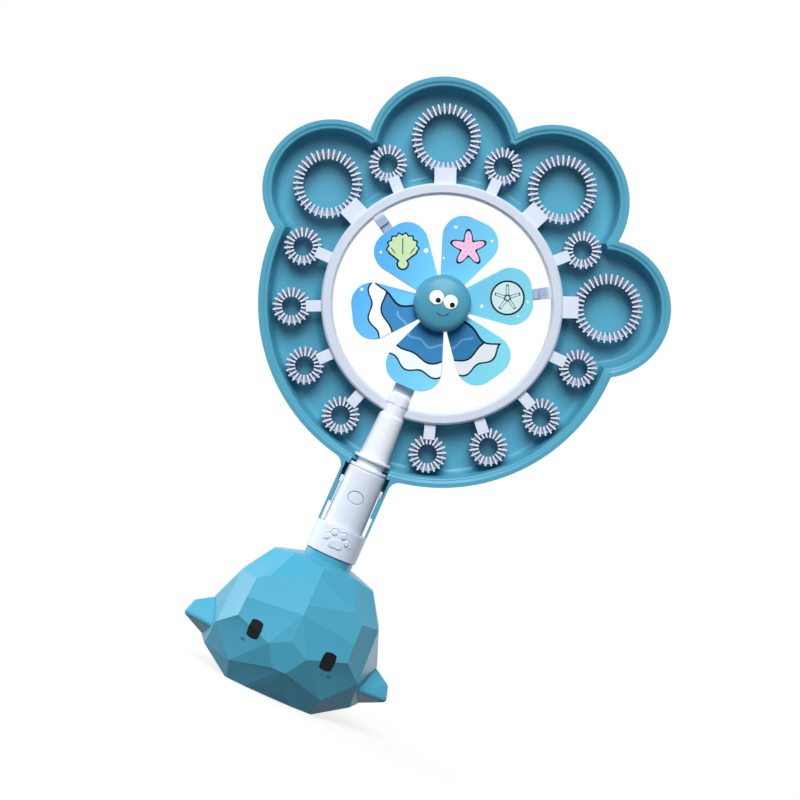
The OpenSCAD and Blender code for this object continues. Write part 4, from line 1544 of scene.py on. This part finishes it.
@dataclass
class MotorPod(Assembly):
    """Motor cover and the cross-head screws; sizes in millimetres."""

    lug_r: float = 14.15
    lug_turns: tuple[int, ...] = (90, 210, 330)
    cover_back_y: float = 27.5
    near: float = 0.1
    cover_edge: Rounding = Rounding(0.5)
    head_r: float = 1.9
    head_h: float = 1.3
    head_edge: Rounding = Rounding(0.35)
    shank_r: float = 1.0
    downward: float = -0.99
    cross: Point = (2.5, 0.55, 1.3)
    lid_length: float = 9.5
    lock_z: float = 106.25
    lock_back_y: float = 16.1
    lock_length: float = 4.8

    def build(self) -> None:
        """Builds the cover and the screws."""
        cover = Bench.node_copy("motor_cover", "motor_lid")
        Bench.round_edges(cover, (self.cover_corner, self.cover_edge))
        # The band's finish paints the lid in its darker inner colour, painted shade inside the
        # pot's radius.
        self.settle(cover, Body.WAND, Slot.BAND, BAND_FINISH, ["motor_cover"])
        for turn in self.lug_turns:
            x = self.lug_r * math.cos(math.radians(turn))
            z = HUB_Z + self.lug_r * math.sin(math.radians(turn))
            screw = self.screw(f"lid_screw_{turn}", (x, self.cover_back_y, z), self.lid_length)
            self.settle(screw, Body.WAND, Slot.SCREW, STEEL_FINISH, ["motor_cover_screws"])
        lock = self.screw("cap_screw", (0.0, self.lock_back_y, self.lock_z), self.lock_length)
        self.settle(lock, Body.WAND, Slot.SCREW, STEEL_FINISH, ["cap_lock_screw"])

    def cover_corner(self, edge: EdgeFacts) -> bool:
        """Whether an edge is a corner of the cover's back."""
        return edge.turn > SHARP and edge.middle.y > self.cover_back_y - self.near

    def screw(self, name: str, head_at: Point, length: float) -> Piece:
        """Makes a cross-head screw whose head faces +Y.

        Args:
            name: the screw's name.
            head_at: middle of the head's face.
            length: length over all.

        Returns:
            The screw.
        """
        piece = Bench.add(
            name, bpy.ops.mesh.primitive_cylinder_add,
            vertices=40, radius=self.head_r * MM, depth=self.head_h * MM,
        )
        Bench.round_edges(
            piece, (lambda edge: edge.turn > SHARP and edge.middle.z > 0, self.head_edge)
        )
        shank = (0.0, 0.0, -(length - self.head_h) * MM)
        with Bench.editing(piece, whole=False):
            bpy.ops.mesh.select_mode(type="FACE")
            for face in bmesh.from_edit_mesh(piece.data).faces:
                face.select_set(face.normal.z < self.downward)
            bmesh.update_edit_mesh(piece.data)
            bpy.ops.mesh.inset(thickness=(self.head_r - self.shank_r) * MM)
            bpy.ops.mesh.extrude_region_move(TRANSFORM_OT_translate={"value": shank})
        long, wide, deep = self.cross
        for size in ((long, wide, deep), (wide, long, deep)):
            cutter = Bench.add(
                "cross_cutter", bpy.ops.mesh.primitive_cube_add,
                size=MM, location=(0.0, 0.0, self.head_h / 2 * MM), scale=size,
            )
            Bench.modifier(piece, "BOOLEAN", object=cutter, operation="DIFFERENCE", solver="EXACT")
            bpy.data.objects.remove(cutter)
        piece.data.transform(Matrix.Rotation(-math.pi / 2, 4, "X"))
        Bench.outward(piece)
        x, back_y, z = head_at
        Bench.shift(piece, x, back_y - self.head_h / 2, z)
        return piece


@dataclass
class InnerWorks(Assembly):
    """Pieces inside the handle and the pot, which keep their CAD meshes."""

    finishes: tuple[tuple[str, Finish], ...] = (
        ("motor_can", CAN_FINISH), ("motor_end_bell", BLACK_FINISH), ("motor_shaft", STEEL_FINISH),
        ("motor_leads", WIRE_FINISH), ("switch_board", BOARD_FINISH), ("tact_switch", BLACK_FINISH),
        ("battery_cells", CELL_FINISH), ("cell_contacts", BRASS_FINISH),
        ("bridge_contact", BRASS_FINISH), ("cap_seal", SEAL_FINISH),
    )

    def build(self) -> None:
        """Gives each inner node its finish."""
        for node, finish in self.finishes:
            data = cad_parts[node].data
            data.materials.clear()
            data.materials.append(finish.material())
            LOG.info("%s: CAD node in %s", node, finish.name)


@dataclass(frozen=True)
class Lamp:
    """Square soft light that points at the wheel; place and width in metres."""

    name: str
    place: Point
    size: float
    watts: float


@dataclass
class Studio:
    """Floor, background, lights and camera; lengths in metres."""

    aim: Point = (0.0004, 0.0, 0.198)
    distance: float = 1.7
    view_w: float = 0.496
    roll: float = 24.0
    sensor: float = 36.0
    lit: Point = (0.0, 0.0, 0.22)
    lamps: tuple[Lamp, ...] = (
        Lamp("key_light", (-0.65, -2.4, 2.2), 2.1, 136.0),
        Lamp("left_light", (-1.0, 0.3, 0.45), 0.8, 10.0),
        Lamp("right_light", (0.85, 0.85, 0.3), 0.8, 4.0),
        Lamp("front_light", (0.35, -1.9, 0.35), 1.4, 0.6),
    )
    ambient: float = 0.022
    ambient_colour: Colour = (0.93, 0.96, 1.0, 1.0)
    floor_r: float = 6.0
    floor_drop: float = 0.0006
    floor_colour: Colour = srgb(250, 251, 253)
    floor_shade: Colour = srgb(48, 50, 54)
    shadow_r: float = 0.09
    shadow_soft: float = 0.08
    shadow_share: float = 0.22

    def build(self) -> None:
        """Builds the whole studio."""
        self.floor()
        self.world()
        for lamp in self.lamps:
            self.hang(lamp)
        self.camera()
        bpy.context.scene.view_settings.view_transform = "Standard"

    def floor(self) -> None:
        """Lays a pale floor that keeps the object's shadow near its base."""
        piece = Bench.add(
            "studio_floor", bpy.ops.mesh.primitive_circle_add, vertices=96, radius=self.floor_r,
            fill_type="NGON", location=(0.0, 0.0, -self.floor_drop),
        )
        material = bpy.data.materials.new("pale studio floor")
        shader = Shader(material)
        x, y, _ = shader.axes(shader.place())
        near = shader.mask((x * x + y * y).root() - self.shadow_r, self.shadow_soft)
        seen = shader.seen()
        shader.set(
            Base_Color=shader.mix(seen, self.floor_shade, self.floor_colour), Roughness=0.8
        )
        white = shader.add("ShaderNodeEmission", None, {"Color": WHITE, "Strength": 1.0})
        share = seen * (1.0 - near * self.shadow_share)
        surface = shader.blend(share, shader.out(shader.surface), shader.out(white))
        shader.feed(shader.tree.nodes["Material Output"].inputs["Surface"], surface)
        piece.data.materials.append(material)

    def world(self) -> None:
        """Makes a white background over a softer light."""
        scene = bpy.context.scene
        scene.world = scene.world or bpy.data.worlds.new("studio")
        shader = Shader(scene.world)
        shader.tree.nodes.clear()
        skies = [
            shader.add("ShaderNodeBackground", None, {"Color": colour, "Strength": strength})
            for colour, strength in ((self.ambient_colour, self.ambient), (WHITE, 1.0))
        ]
        background = shader.blend(shader.seen(), *(shader.out(sky) for sky in skies))
        shader.add("ShaderNodeOutputWorld", None, {"Surface": background})

    def hang(self, lamp: Lamp) -> None:
        """Hangs one light.

        Args:
            lamp: its name, place, width and power.
        """
        data = bpy.data.lights.new(lamp.name, "AREA")
        data.shape = "SQUARE"
        data.size = lamp.size
        data.energy = lamp.watts
        light = bpy.data.objects.new(lamp.name, data)
        bpy.context.scene.collection.objects.link(light)
        light.location = lamp.place
        way = Vector(self.lit) - Vector(lamp.place)
        light.rotation_euler = way.to_track_quat("-Z", "Y").to_euler()

    def camera(self) -> None:
        """Sets the camera level in front of the wheel, rolled as the photograph is."""
        data = bpy.data.cameras.new("photo_camera")
        data.sensor_width = self.sensor
        data.lens = self.sensor * self.distance / self.view_w
        camera = bpy.data.objects.new("photo_camera", data)
        bpy.context.scene.collection.objects.link(camera)
        level = Matrix.Rotation(math.pi / 2, 4, "X")
        roll = Matrix.Rotation(math.radians(self.roll), 4, "Z")
        place = Vector(self.aim) - Vector((0.0, self.distance, 0.0))
        camera.matrix_world = Matrix.Translation(place) @ level @ roll
        bpy.context.scene.camera = camera


def main() -> None:
    """Builds the sub-assemblies in order, then the studio."""
    logging.basicConfig(level=logging.INFO, format="%(message)s")
    kinds = (DipTray, BubbleWheel, Windmill, Handle, WhaleBottle, MotorPod, InnerWorks)
    for kind in kinds:
        LOG.info("building %s", kind.__name__)
        kind().build()
    Studio().build()


if __name__ == "__main__":
    main()
